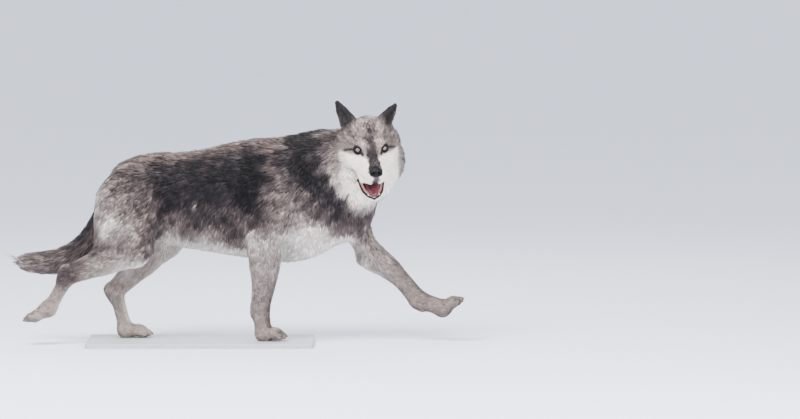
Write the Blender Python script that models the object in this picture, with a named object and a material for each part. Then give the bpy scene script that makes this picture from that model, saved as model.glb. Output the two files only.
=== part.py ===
"""Life-size model of a grey wolf in mid stride, its head turned to its right and its mouth open.

Metres, +Z up. The wolf walks towards +X, its right side towards -Y, and the middle of the
stand's underside is the origin of the finished model. The whole coat outline is one implicit
surface, the smooth union of the rounded forms below. It is meshed once and parted by thin cuts.
"""
import math

import bmesh
import bpy
import numpy as np
from mathutils import Matrix, Vector
from mathutils.bvhtree import BVHTree

# ---------------------------------------------------------------- driving sizes
FORE_BONES, FORE_TOES = (0.205, 0.258, 0.095), 0.082   # humerus, forearm, metacarpus; toes
HIND_BONES, HIND_TOES = (0.215, 0.270, 0.152), 0.098   # femur, tibia, metatarsus; toes
FORE_SIDES = (0.096, 0.076, 0.068)   # how far elbow, wrist and knuckles stand from the middle plane
HIND_SIDES = (0.098, 0.084, 0.070)   # the same of knee, hock and knuckles
SOLE = 0.0                # height of the ground under the standing feet
TOE_SPREAD = 0.0185       # sideways step from one toe to the next
EYE_RADIUS = 0.0125
EYE_PLACE = (0.004, 0.0485, 0.0)
NOSE_PLACE, NOSE_SIZE = (0.128, 0.0, -0.050), (0.015, 0.0240, 0.0190)
JAW_HINGE, JAW_OPEN = (-0.050, 0.0, -0.060), 30.5
EAR_ROOT = (-0.088, 0.064, 0.067)
RIGHT_EAR_TIP, LEFT_EAR_TIP = (-0.092, 0.116, 0.168), (-0.122, 0.118, 0.128)   # both given as if on the left

# The head's frame: its origin is midway between the eyes, and its axes are forward, left and up.
HEAD_PLACE = (0.593, -0.194, 0.7385)
HEAD_TURN, HEAD_NOD, HEAD_TILT = -81.0, 16.0, 3.5   # degrees from +X, down, and towards the left ear

CELL = 0.0070             # mesh step of the implicit surface
REACH = 0.10              # how far from the surface it is still measured
TRIANGLES = 5300          # what is left of it after thinning
CUT = 0.0006              # width of the cuts between the parts
GAP = 0.0003              # clearance of one set-in piece
STAND_SIZE, STAND_MIDDLE = (0.86, 0.40, 0.018), (-0.055, 0.0)


def unit(v):
    v = np.asarray(v, float)
    return v / np.linalg.norm(v)


def head_axes():
    """Forward, left and up as the columns of a matrix."""
    turn, nod, tilt = (math.radians(a) for a in (HEAD_TURN, HEAD_NOD, HEAD_TILT))
    forward = np.array([math.cos(turn) * math.cos(nod), math.sin(turn) * math.cos(nod), -math.sin(nod)])
    left = unit(np.cross((0, 0, 1), forward))
    up = np.cross(forward, left)
    left, up = left * math.cos(tilt) + up * math.sin(tilt), up * math.cos(tilt) - left * math.sin(tilt)
    return np.column_stack([forward, left, up])


HEAD_AXES = head_axes()


def from_head(p):
    """A point of the head's frame in the wolf's frame."""
    return np.asarray(HEAD_PLACE) + HEAD_AXES @ np.asarray(p, float)


# ---------------------------------------------------------------- implicit forms
class Form:
    """A tapered capsule from a to b with oval sections, or an ellipsoid if axes is given."""

    def __init__(self, a, b, ra, rb=None, wide=(1.0, 1.0), across=(0, 1, 0), blend=0.03):
        self.a, self.b = np.asarray(a, float), np.asarray(b, float)
        self.ra, self.rb = ra, ra if rb is None else rb
        self.wide, self.across, self.blend = wide, unit(across), blend
        reach = max(self.ra * max(1, wide[0]), self.rb * max(1, wide[1]))
        self.low, self.high = np.minimum(self.a, self.b) - reach, np.maximum(self.a, self.b) + reach

    def distance(self, p):
        along = self.b - self.a
        v = p - self.a
        t = np.clip(v @ along / max(along @ along, 1e-12), 0, 1)
        v = v - t[:, None] * along
        radius = self.ra + t * (self.rb - self.ra)
        wide = self.wide[0] + t * (self.wide[1] - self.wide[0])
        side = v @ self.across
        rest = np.maximum(np.einsum("ij,ij->i", v, v) - side**2, 0)
        scaled = np.sqrt(rest + (side / wide) ** 2) + 1e-9
        slope = np.sqrt(rest + (side / wide**2) ** 2) + 1e-9
        return (scaled - radius) * scaled / slope


class Ball:
    """An ellipsoid with its own axes, given as the columns of a matrix."""

    def __init__(self, centre, radii, axes=np.eye(3), blend=0.03):
        self.centre, self.radii = np.asarray(centre, float), np.asarray(radii, float)
        self.axes, self.blend = axes, blend
        self.low, self.high = self.centre - max(radii), self.centre + max(radii)

    def distance(self, p):
        v = (p - self.centre) @ self.axes
        k0 = np.linalg.norm(v / self.radii, axis=1) + 1e-9
        k1 = np.linalg.norm(v / self.radii**2, axis=1) + 1e-9
        return k0 * (k0 - 1) / k1


class Tube:
    """Capsules end to end along a smooth path through stations of (point, radius, width over radius)."""

    def __init__(self, stations, across=(0, 1, 0), blend=0.03, steps=4):
        rows = np.array([[*p, r, w] for p, r, w in stations], float)
        ends = np.vstack([2 * rows[0] - rows[1], rows, 2 * rows[-1] - rows[-2]])
        fine = [rows[0]]
        for i in range(1, len(rows)):
            p0, p1, p2, p3 = ends[i - 1:i + 3]
            for s in range(1, steps + 1):
                t = s / steps
                fine.append(0.5 * (2 * p1 + (p2 - p0) * t + (2 * p0 - 5 * p1 + 4 * p2 - p3) * t**2
                                   + (3 * p1 - p0 - 3 * p2 + p3) * t**3))
        self.parts = [Form(a[:3], b[:3], a[3], b[3], (a[4], b[4]), across) for a, b in zip(fine, fine[1:])]
        self.blend = blend
        self.low = np.min([part.low for part in self.parts], 0)
        self.high = np.max([part.high for part in self.parts], 0)

    def distance(self, p):
        return np.min([part.distance(p) for part in self.parts], 0)


def smooth_min(a, b, k):
    h = np.maximum(k - np.abs(a - b), 0) / k
    return np.minimum(a, b) - h * h * k / 4


def union(forms, p):
    """The smooth union of the forms. A form is not felt further from its box than REACH."""
    d = np.full(len(p), REACH)
    for form in forms:
        near = np.flatnonzero(((p > form.low - REACH) & (p < form.high + REACH)).all(1))
        d[near] = smooth_min(d[near], form.distance(p[near]), form.blend)
    return d


# ---------------------------------------------------------------- trunk, neck and tail
def trunk_forms():
    stations = [  # middle of the section, half its height, width over height
        ((0.415, 0, 0.588), 0.178, 0.70),
        ((0.300, 0, 0.530), 0.232, 0.60),
        ((0.150, 0, 0.536), 0.228, 0.60),
        ((0.000, 0, 0.532), 0.200, 0.68),
        ((-0.130, 0, 0.535), 0.180, 0.69),
        ((-0.250, 0, 0.560), 0.146, 0.74),
        ((-0.310, 0, 0.582), 0.098, 0.95),
    ]
    withers = Form((0.31, 0, 0.682), (0.17, 0, 0.688), 0.078, 0.072, (0.9, 0.9))
    croup = Form((-0.20, 0, 0.613), (-0.308, 0, 0.598), 0.093, 0.084)
    breast = Ball((0.498, 0.015, 0.490), (0.106, 0.110, 0.122), blend=0.04)
    return [Tube(stations), withers, croup, breast]


def neck_forms():
    nape = [
        ((0.330, 0.000, 0.620), 0.140, 0.90),
        ((0.400, 0.000, 0.658), 0.140, 0.92),
        ((0.470, -0.008, 0.672), 0.130, 0.98),
        ((0.535, -0.030, 0.690), 0.122, 1.0),
    ]
    throat = Form((0.450, 0.000, 0.600), (0.540, -0.025, 0.615), 0.148, 0.118, blend=0.05)
    return [Tube(nape, blend=0.05), throat]


def tail_forms():
    stations = [
        ((-0.352, 0.000, 0.600), 0.050, 0.85),
        ((-0.398, 0.000, 0.525), 0.042, 0.90),
        ((-0.435, 0.004, 0.450), 0.044, 0.90),
        ((-0.474, 0.012, 0.380), 0.049, 0.90),
        ((-0.527, 0.020, 0.328), 0.052, 0.85),
        ((-0.600, 0.026, 0.296), 0.052, 0.80),
        ((-0.669, 0.028, 0.291), 0.048, 0.80),
        ((-0.730, 0.028, 0.294), 0.034, 0.80),
        ((-0.768, 0.028, 0.297), 0.007, 0.80),
    ]
    return [Tube(stations, blend=0.02)]


# ---------------------------------------------------------------- legs
def bone(start, length, angle, side):
    """The far end of a bone that leaves start at angle degrees forward of straight down, at depth side."""
    a = math.radians(angle)
    return np.array([start[0] + length * math.sin(a), side, start[2] - length * math.cos(a)])


def chain(root, lengths, angles, sides):
    joints = [np.asarray(root, float)]
    for length, angle, side in zip(lengths, angles, sides):
        joints.append(bone(joints[-1], length, angle, side))
    return joints


def paw_forms(knuckle, angle, length, width=1.0, blend=0.010):
    """Four toes side by side from the knuckles, the middle pair longest, over one broad pad.

    angle is the way the toes point, in degrees forward of straight down."""
    a = math.radians(angle)
    ahead = np.array([math.sin(a), 0, -math.cos(a)])
    top = np.array([math.cos(a), 0, math.sin(a)])   # the back of the paw, 90 degrees forward of its toes
    forms = [Form(knuckle - 0.006 * top, knuckle + 0.4 * length * ahead - 0.004 * top, 0.030, 0.024,
                  (1.15 * width, 1.35 * width), blend=0.02)]
    for place, share in ((-1.5, 0.80), (-0.5, 1.0), (0.5, 1.0), (1.5, 0.80)):
        side = np.array([0, place * TOE_SPREAD * width, 0])
        root = knuckle + side * 0.8 + 0.30 * length * ahead
        bend = knuckle + side + 0.62 * share * length * ahead + 0.002 * top
        tip = knuckle + side + (share * length - 0.006) * ahead - 0.008 * top
        forms += [Form(root, bend, 0.0165, 0.0165, blend=blend), Form(bend, tip, 0.0165, 0.0125, blend=blend)]
    return forms


def fore_leg_forms(joints, toe_angle, girth):
    wide = 0.72 / girth
    top, elbow, wrist, knuckle = joints
    ahead = unit((wrist - elbow) * (1, 0, 1))
    front = np.array([-ahead[2], 0, ahead[0]])   # the side of the forearm that faces forward
    upper_arm = Tube([(top, 0.090, 0.62), ((top + elbow) / 2 + 0.022 * front, 0.076 * girth, 0.62 / girth),
                      (elbow + 0.008 * front, 0.060 * girth, 0.70 / girth)], blend=0.04)
    forearm = Tube([(elbow + 0.012 * front, 0.062 * girth, wide),
                    (elbow + 0.085 * ahead + 0.014 * front, 0.060 * girth, wide),
                    (elbow + 0.165 * ahead + 0.012 * front, 0.046 * girth, wide),
                    (wrist, 0.035, 0.92)], blend=0.02)
    point_of_elbow = Form(elbow - 0.026 * front, elbow - 0.016 * front + 0.05 * ahead, 0.028, 0.022)
    cannon = Form(wrist, knuckle, 0.034, 0.030, (0.98, 1.1), blend=0.015)
    heel = unit((knuckle - wrist) * (1, 0, 1))
    wrist_pad = Ball(wrist + 0.022 * heel - 0.024 * np.array([-heel[2], 0, heel[0]]), (0.012, 0.012, 0.014),
                     blend=0.02)
    return [upper_arm, forearm, point_of_elbow, cannon, wrist_pad,
            *paw_forms(knuckle, toe_angle, FORE_TOES, 1.0)]


def hind_leg_forms(joints, toe_angle):
    top, knee, hock, knuckle = joints
    thigh = Tube([(top + (0.015, 0, 0.01), 0.099, 0.58), ((top + knee) / 2 + (-0.005, 0, 0.01), 0.112, 0.56),
                  (knee, 0.070, 0.72)], blend=0.05)
    hamstring = Form(top + (-0.050, 0, -0.03), 0.55 * knee + 0.45 * hock, 0.070, 0.048, (0.7, 0.85), blend=0.05)
    shank = Tube([(knee, 0.066, 0.74), ((2 * knee + hock) / 3, 0.056, 0.76), ((knee + 2 * hock) / 3, 0.046, 0.80),
                  (hock, 0.036, 0.82)], blend=0.025)
    along = unit((knuckle - hock) * (1, 0, 1))
    back = np.array([along[2], 0, -along[0]])
    heel_bone = Form(hock + 0.020 * back - 0.010 * along, hock + 0.010 * back + 0.03 * along, 0.022, 0.022,
                     blend=0.02)
    cannon = Tube([(hock, 0.029, 0.88), ((hock + knuckle) / 2, 0.0245, 1.0), (knuckle, 0.026, 1.10)], blend=0.015)
    return [thigh, hamstring, shank, heel_bone, cannon, *paw_forms(knuckle, toe_angle, HIND_TOES, 0.94)]


# The pose. The right fore and left hind paws stand, the other two swing.
POSE = {  # shoulder or hip, then the angles of the three long bones and of the toes
    "fore_right": ((0.297, -0.084, 0.552), (-35.0, -1.5, 8.0), 86.0),
    "fore_left": ((0.458, 0.084, 0.480), (37.0, 48.0, 72.0), 119.0),
    "hind_right": ((-0.328, -0.070, 0.566), (7.0, -68.0, -30.0), -62.0),
    "hind_left": ((-0.305, 0.070, 0.556), (31.0, -45.0, 15.0), 84.0),
}
GIRTH = {"fore_right": 1.0, "fore_left": 0.74}   # how full the coat of the foreleg stands


def leg_joints():
    """Top, middle joint, wrist or hock, and knuckles of each leg."""
    found = {}
    for name, (top, angles, _) in POSE.items():
        side = -1 if name.endswith("right") else 1
        bones, sides = (FORE_BONES, FORE_SIDES) if name.startswith("fore") else (HIND_BONES, HIND_SIDES)
        found[name] = chain(top, bones, angles, [side * y for y in sides])
    return found


def leg_forms():
    found = {}
    for name, joints in leg_joints().items():
        toe_angle = POSE[name][2]
        if name.startswith("fore"):
            found[name] = fore_leg_forms(joints, toe_angle, GIRTH[name])
        else:
            found[name] = hind_leg_forms(joints, toe_angle)
    return found


# ---------------------------------------------------------------- head
def lowered(p):
    """Points of the head's frame in that of the lower jaw as it lies when shut."""
    a = math.radians(JAW_OPEN)
    f, w = p[:, 0] - JAW_HINGE[0], p[:, 2] - JAW_HINGE[2]
    shut = np.array(p)
    shut[:, 0] = JAW_HINGE[0] + f * math.cos(a) - w * math.sin(a)
    shut[:, 2] = JAW_HINGE[2] + f * math.sin(a) + w * math.cos(a)
    return shut


def skull_forms():
    """Half of the head with its coat, in its own frame: the other half is its mirror image."""
    left = (0, 1, 0)
    muzzle = Tube([((0.000, 0, -0.038), 0.048, 1.08), ((0.040, 0, -0.048), 0.041, 0.98),
                   ((0.076, 0, -0.055), 0.036, 0.93), ((0.099, 0, -0.060), 0.033, 0.92)], left, 0.02)
    return [
        Ball((-0.075, 0, 0.024), (0.085, 0.080, 0.084), blend=0.02),              # cranium and crown
        Ball((-0.014, 0.028, 0.012), (0.036, 0.036, 0.028), blend=0.02),          # brow
        Ball((-0.050, 0.050, -0.042), (0.062, 0.050, 0.060), blend=0.03),         # cheek
        muzzle,
        Form((-0.002, 0.044, -0.074), (0.100, 0.018, -0.080), 0.019, 0.017, blend=0.02),   # upper lip
        Ball((-0.100, 0, -0.086), (0.070, 0.148, 0.146), blend=0.03),             # ruff
        Ball((-0.085, 0.068, 0.002), (0.056, 0.057, 0.061), blend=0.03),          # temple
        Ball((-0.074, 0.030, -0.160), (0.058, 0.062, 0.080), blend=0.03),         # ruff under the jaw
    ]


def flew_forms():
    """Half of the upper lip's hanging edge."""
    return [Form((-0.006, 0.052, -0.088), (0.050, 0.038, -0.106), 0.008, 0.010),
            Form((0.050, 0.038, -0.106), (0.094, 0.016, -0.098), 0.010, 0.010, blend=0.01)]


def jaw_forms():
    """Half of the lower jaw as it lies when shut."""
    body = Tube([((-0.030, 0, -0.112), 0.036, 1.62), ((0.030, 0, -0.117), 0.028, 1.85),
                 ((0.068, 0, -0.114), 0.022, 1.95), ((0.092, 0, -0.110), 0.017, 1.70),
                 ((0.104, 0, -0.108), 0.013, 1.20)], (0, 1, 0), 0.012)
    beard = Ball((0.010, 0, -0.134), (0.076, 0.036, 0.026), blend=0.03)
    return [body, beard]


def tongue_form():
    return Tube([((-0.012, 0, -0.090), 0.013, 2.2), ((0.030, 0, -0.091), 0.012, 2.3),
                 ((0.064, 0, -0.092), 0.011, 2.2), ((0.088, 0, -0.094), 0.009, 2.0),
                 ((0.101, 0, -0.098), 0.007, 1.7)])


def ear_frame(tip):
    """Along an ear, across its opening, and out of its opening."""
    along = unit(np.subtract(tip, EAR_ROOT))
    out = unit((0.78, 0.60, 0.0))
    out = unit(out - along * (out @ along))
    return along, np.cross(out, along), out


def ear_distance(p, tip):
    """An ear of the left side: a flattened cone with its front scooped out."""
    along, across, out = ear_frame(tip)
    root, tip = np.asarray(EAR_ROOT), np.asarray(tip)
    bend = 0.45 * root + 0.55 * tip
    shell = np.minimum(Form(root - 0.01 * along, bend, 0.041, 0.026, (0.62, 0.46), out).distance(p),
                       Form(bend, tip, 0.026, 0.0055, (0.46, 0.8), out).distance(p))
    scoop = Form(root + 0.016 * along + 0.026 * out, 0.14 * root + 0.86 * tip + 0.008 * out,
                 0.026, 0.006, (0.85, 0.8), out).distance(p)
    return -smooth_min(-shell, scoop, 0.004)


def both_ears_distance(p):
    mirrored = p * (1, -1, 1)
    return np.minimum(ear_distance(p, LEFT_EAR_TIP), ear_distance(mirrored, RIGHT_EAR_TIP))


def head_distance(p):
    q = (p - np.asarray(HEAD_PLACE)) @ HEAD_AXES
    ears = both_ears_distance(q)
    q[:, 1] = np.abs(q[:, 1])
    upper = union(skull_forms(), q)
    lower = union(jaw_forms(), lowered(q))
    mouth = Form((-0.028, 0, -0.089), (0.120, 0, -0.152), 0.006, 0.048, (11.0, 2.0)).distance(q)
    upper = smooth_min(-smooth_min(-upper, mouth, 0.008), union(flew_forms(), q), 0.010)
    return smooth_min(smooth_min(upper, ears, 0.012), lower, 0.008)


def wolf_distance(p):
    """Roughly the distance in metres of points p from the coat's outline, negative inside."""
    body = union([*trunk_forms(), *neck_forms(), *tail_forms()], p)
    for forms in leg_forms().values():
        leg = union(forms, p)
        body = smooth_min(body, leg, 0.025)
    body = np.array(body)
    near_head = np.linalg.norm(p - np.asarray(HEAD_PLACE), axis=1) < 0.36
    body[near_head] = smooth_min(body[near_head], head_distance(p[near_head]), 0.03)
    return np.maximum(body, SOLE - p[:, 2])


# ---------------------------------------------------------------- meshing
def grid_values(field, axes, coarse=4):
    """The field on a grid, exact near the surface and copied from a coarser grid elsewhere."""
    rough = np.meshgrid(*(a[::coarse] for a in axes), indexing="ij")
    values = field(np.column_stack([g.ravel() for g in rough])).reshape(rough[0].shape)
    index = [np.minimum(np.arange(len(a)) // coarse, values.shape[i] - 1) for i, a in enumerate(axes)]
    full = values[np.ix_(*index)]
    close = np.argwhere(np.abs(full) < 1.6 * coarse * (axes[0][1] - axes[0][0]))
    places = np.column_stack([a[close[:, i]] for i, a in enumerate(axes)])
    full[tuple(close.T)] = field(places)
    return full


def surface_net(field, low, high, cell):
    """Vertices and quads of the field's zero surface, one vertex in each cell that it crosses."""
    axes = [np.arange(a, b + cell, cell) for a, b in zip(low, high)]
    values = grid_values(field, axes)
    inside = values < 0
    corner = [np.array([i >> 2 & 1, i >> 1 & 1, i & 1]) for i in range(8)]
    shape = np.array(values.shape) - 1
    held = sum(inside[c[0]:c[0] + shape[0], c[1]:c[1] + shape[1], c[2]:c[2] + shape[2]].astype(np.int8)
               for c in corner)
    cells = np.argwhere((held > 0) & (held < 8))
    at = [values[tuple((cells + c).T)] for c in corner]
    total, count = np.zeros((len(cells), 3)), np.zeros(len(cells))
    for i in range(8):
        for bit in (1, 2, 4):
            j = i | bit
            if j == i:
                continue
            cross = (at[i] < 0) != (at[j] < 0)
            t = np.where(cross, at[i] / np.where(cross, at[i] - at[j], 1), 0)
            place = corner[i] + t[:, None] * (corner[j] - corner[i])
            total += np.where(cross[:, None], place, 0)
            count += cross
    points = np.asarray(low) + (cells + total / count[:, None]) * cell
    number = -np.ones(shape, int)
    number[tuple(cells.T)] = np.arange(len(cells))
    quads = []
    for axis in range(3):
        u, v = (axis + 1) % 3, (axis + 2) % 3
        step = np.eye(3, dtype=int)
        first = inside[tuple(slice(0, -1) if i == axis else slice(1, -1) for i in range(3))]
        last = inside[tuple(slice(1, None) if i == axis else slice(1, -1) for i in range(3))]
        edges = np.argwhere(first != last) + step[u] + step[v]
        out = first[tuple((edges - step[u] - step[v]).T)]
        ring = [number[tuple((edges + d).T)] for d in (-step[u] - step[v], -step[v], 0 * step[u], -step[u])]
        quad = np.column_stack(ring)
        quads.append(np.where(out[:, None], quad, quad[:, ::-1]))
    return settled(field, points), np.vstack(quads)


def settled(field, points, rounds=2, step=0.0015):
    """Points moved along the field's slope onto its zero surface."""
    for _ in range(rounds):
        value = field(points)
        slope = np.column_stack([(field(points + step * e) - field(points - step * e)) / (2 * step)
                                 for e in np.eye(3)])
        size = np.maximum(np.einsum("ij,ij->i", slope, slope), 0.25)
        points = points - slope * np.clip(value / size, -0.004, 0.004)[:, None]
    return points


# ---------------------------------------------------------------- nodes
def material(name, colour, roughness):
    made = bpy.data.materials.get(name)
    if made:
        return made
    made = bpy.data.materials.new(name)
    made.use_nodes = True
    shader = made.node_tree.nodes["Principled BSDF"]
    shader.inputs["Base Color"].default_value = (*colour, 1)
    shader.inputs["Roughness"].default_value = roughness
    shader.inputs["Metallic"].default_value = 0.0
    return made


def add_object(name, mesh, finish):
    obj = bpy.data.objects.new(name, mesh)
    bpy.context.scene.collection.objects.link(obj)
    mesh.materials.clear()
    mesh.materials.append(finish)
    return obj


def mesh_of(name, points, faces):
    mesh = bpy.data.meshes.new(name)
    mesh.from_pydata([tuple(p) for p in points], [], [tuple(f) for f in faces])
    mesh.validate()
    return mesh


def disc(centre, normal, radius, thick=CUT):
    """Vertices and faces of a thin disc across a limb."""
    normal = unit(normal)
    u = unit(np.cross(normal, (0.3, 1.0, 0.2)))
    v = np.cross(normal, u)
    n = 24
    ring = [math.cos(2 * math.pi * i / n) * u + math.sin(2 * math.pi * i / n) * v for i in range(n)]
    points = [np.asarray(centre) + radius * r + k * thick / 2 * normal for k in (-1, 1) for r in ring]
    faces = [list(range(n))[::-1], list(range(n, 2 * n))]
    faces += [[i, (i + 1) % n, n + (i + 1) % n, n + i] for i in range(n)]
    return points, faces


def cuts():
    """Each cut: the centre, the normal and the radius of a thin disc."""
    legs = leg_joints()
    found = [
        ((0.470, -0.060, 0.690), (0.60, -0.66, 0.45), 0.32),      # head from neck
        ((0.420, 0.000, 0.615), (0.73, 0.0, 0.685), 0.30),        # neck from trunk
        ((-0.140, 0.000, 0.530), (0.966, 0.0, 0.258), 0.30),      # trunk from hindquarters
        ((-0.487, 0.013, 0.363), (-0.62, 0.08, -0.78), 0.064),    # tail
    ]
    for name, (_, upper, lower, knuckle) in legs.items():
        along = lower - upper
        share, radius = {"fore_right": (0.38, 0.092), "fore_left": (0.12, 0.095),
                         "hind_right": (0.58, 0.072), "hind_left": (0.64, 0.078)}[name]
        found.append((upper + share * along, along, radius))
        found.append((lower + 0.72 * (knuckle - lower), knuckle - lower, 0.052))
    for tip, side in ((LEFT_EAR_TIP, 1), (RIGHT_EAR_TIP, -1)):
        mirror = np.array([1, side, 1])
        along = ear_frame(tip)[0] * mirror
        found.append((from_head(np.asarray(EAR_ROOT) * mirror + 0.036 * along), HEAD_AXES @ along, 0.042))
    return found


def meshed(name, field, low, high, cell, count, finish):
    """The zero surface of a field as an object thinned to count triangles."""
    points, quads = surface_net(field, low, high, cell)
    obj = add_object(name, mesh_of(name, points, quads), finish)
    thin = obj.modifiers.new("thin", "DECIMATE")
    thin.ratio = count / (2 * len(quads))
    return applied(obj)


def applied(obj):
    """The object with its modifiers made part of its mesh."""
    graph = bpy.context.evaluated_depsgraph_get()
    mesh = bpy.data.meshes.new_from_object(obj.evaluated_get(graph))
    old = obj.data
    obj.modifiers.clear()
    obj.data = mesh
    bpy.data.meshes.remove(old)
    return obj


def carve(obj, cutter):
    cut = obj.modifiers.new("cut", "BOOLEAN")
    cut.object, cut.operation, cut.solver = cutter, "DIFFERENCE", "EXACT"
    applied(obj)
    bpy.data.objects.remove(cutter)


def ellipsoid(name, centre, radii, axes, finish, segments=14, rings=9):
    bm = bmesh.new()
    bmesh.ops.create_uvsphere(bm, u_segments=segments, v_segments=rings, radius=1.0)
    turn = Matrix(np.column_stack([axes[:, i] * radii[i] for i in range(3)]).tolist()).to_4x4()
    bmesh.ops.transform(bm, matrix=Matrix.Translation(Vector(centre)) @ turn, verts=bm.verts)
    bmesh.ops.recalc_face_normals(bm, faces=bm.faces)
    mesh = bpy.data.meshes.new(name)
    bm.to_mesh(mesh)
    bm.free()
    return add_object(name, mesh, finish)


def jaw_cutter(finish):
    """A thin upright plate between the throat and the lower jaw, its top edge inside the mouth."""
    half = np.array([CUT / 2, 0.110, 0.075])
    points = [from_head(np.array([-0.004, 0, -0.180]) + half * (i, j, k))
              for i in (-1, 1) for j in (-1, 1) for k in (-1, 1)]
    faces = [(0, 1, 3, 2), (4, 6, 7, 5), (0, 4, 5, 1), (2, 3, 7, 6), (0, 2, 6, 4), (1, 5, 7, 3)]
    cutter = add_object("plate", mesh_of("plate", points, faces), finish)
    bm = bmesh.new()
    bm.from_mesh(cutter.data)
    bmesh.ops.recalc_face_normals(bm, faces=bm.faces)
    bm.to_mesh(cutter.data)
    bm.free()
    return cutter


def islands(mesh):
    """The loose parts of a mesh, each as an array of points and a list of faces."""
    parent = list(range(len(mesh.vertices)))

    def root(i):
        while parent[i] != i:
            parent[i] = parent[parent[i]]
            i = parent[i]
        return i

    for edge in mesh.edges:
        a, b = root(edge.vertices[0]), root(edge.vertices[1])
        parent[a] = b
    groups = {}
    for face in mesh.polygons:
        groups.setdefault(root(face.vertices[0]), []).append(list(face.vertices))
    places = np.array([v.co for v in mesh.vertices])
    found = []
    for faces in groups.values():
        used = sorted({i for face in faces for i in face})
        number = {v: i for i, v in enumerate(used)}
        found.append((places[used], [[number[i] for i in face] for face in faces]))
    return found


def holds(obj, point):
    """Whether the point lies inside the closed mesh: a ray from it leaves through an odd number of faces."""
    mesh = obj.data
    tree = BVHTree.FromPolygons([v.co for v in mesh.vertices], [f.vertices for f in mesh.polygons])
    place, way, crossed = Vector(point), Vector((0.31, 0.83, 0.46)).normalized(), 0
    while True:
        place = tree.ray_cast(place, way)[0]
        if place is None:
            return crossed % 2 == 1
        crossed += 1
        place = place + way * 1e-6


def seeds():
    """A point well inside each part, by its name."""
    legs = leg_joints()
    found = {
        "head": from_head((-0.06, 0, 0.02)),
        "jaw": from_head((0.030, 0, -0.165)),
        "neck": (0.46, 0.0, 0.66),
        "trunk": (0.10, 0.0, 0.52),
        "hindquarters": (-0.27, 0.0, 0.62),
        "tail": (-0.60, 0.025, 0.296),
    }
    for end in ("fore", "hind"):
        for side in ("left", "right"):
            _, upper, lower, knuckle = legs[f"{end}_{side}"]
            found[f"{end}_leg_{side}"] = upper + 0.80 * (lower - upper)
            found[f"{end}_paw_{side}"] = knuckle
    for side, tip, mirror in (("left", LEFT_EAR_TIP, 1), ("right", RIGHT_EAR_TIP, -1)):
        out = ear_frame(tip)[2]
        place = 0.3 * np.asarray(EAR_ROOT) + 0.7 * np.asarray(tip) - 0.004 * out
        found[f"ear_{side}"] = from_head(place * (1, mirror, 1))
    return found


def swollen(obj, by):
    """A copy of the object with every point moved out along its normal."""
    mesh = obj.data.copy()
    for vertex, normal in zip(mesh.vertices, [v.normal.copy() for v in obj.data.vertices]):
        vertex.co += normal * by
    copy = bpy.data.objects.new("cutter", mesh)
    bpy.context.scene.collection.objects.link(copy)
    return copy


def small_parts(finishes, parts):
    """Eyes, nose and tongue, each set into a hollow cut to its own shape."""
    for side, mirror in (("left", 1), ("right", -1)):
        eye = ellipsoid(f"eye_{side}", from_head(np.multiply(EYE_PLACE, (1, mirror, 1))), [EYE_RADIUS] * 3,
                        HEAD_AXES, finishes["eye"])
        carve(parts["head"], swollen(eye, GAP))
        parts[eye.name] = eye
    nose = ellipsoid("nose", from_head(NOSE_PLACE), NOSE_SIZE, HEAD_AXES, finishes["nose_skin"])
    carve(parts["head"], swollen(nose, GAP))
    parts["nose"] = nose
    form = tongue_form()
    middle = from_head((0.02, 0, -0.14))
    tongue = meshed("tongue", lambda p: form.distance(lowered((p - np.asarray(HEAD_PLACE)) @ HEAD_AXES)),
                    middle - 0.11, middle + 0.11, 0.004, 320, finishes["tongue_skin"])
    carve(parts["jaw"], swollen(tongue, 3 * GAP))
    carve(parts["head"], swollen(tongue, 3 * GAP))
    parts["tongue"] = tongue


def stand(finish):
    bm = bmesh.new()
    bmesh.ops.create_cube(bm, size=1.0)
    bmesh.ops.scale(bm, vec=STAND_SIZE, verts=bm.verts)
    upright = [e for e in bm.edges if abs(e.verts[0].co.z - e.verts[1].co.z) > 0.001]
    bmesh.ops.bevel(bm, geom=upright, offset=0.020, segments=5, affect="EDGES", profile=0.5)
    rim = [e for e in bm.edges if min(v.co.z for v in e.verts) > 0.001 and len(e.link_faces) == 2
           and any(abs(f.normal.z) < 0.5 for f in e.link_faces) and any(f.normal.z > 0.5 for f in e.link_faces)]
    bmesh.ops.bevel(bm, geom=rim, offset=0.003, segments=2, affect="EDGES", profile=0.5)
    x, y = STAND_MIDDLE
    bmesh.ops.translate(bm, vec=(x, y, SOLE - GAP - STAND_SIZE[2] / 2), verts=bm.verts)
    mesh = bpy.data.meshes.new("stand_base")
    bm.to_mesh(mesh)
    bm.free()
    return add_object("stand_base", mesh, finish)


def settle_at_origin(objects):
    """Move everything so that the middle of the underside of the whole is the origin."""
    corners = np.vstack([[v.co for v in obj.data.vertices] for obj in objects])
    low, high = corners.min(0), corners.max(0)
    shift = Vector((-(low[0] + high[0]) / 2, -(low[1] + high[1]) / 2, -low[2]))
    for obj in objects:
        obj.data.transform(Matrix.Translation(shift))
    return shift


def smooth(obj):
    for face in obj.data.polygons:
        face.use_smooth = True


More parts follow.
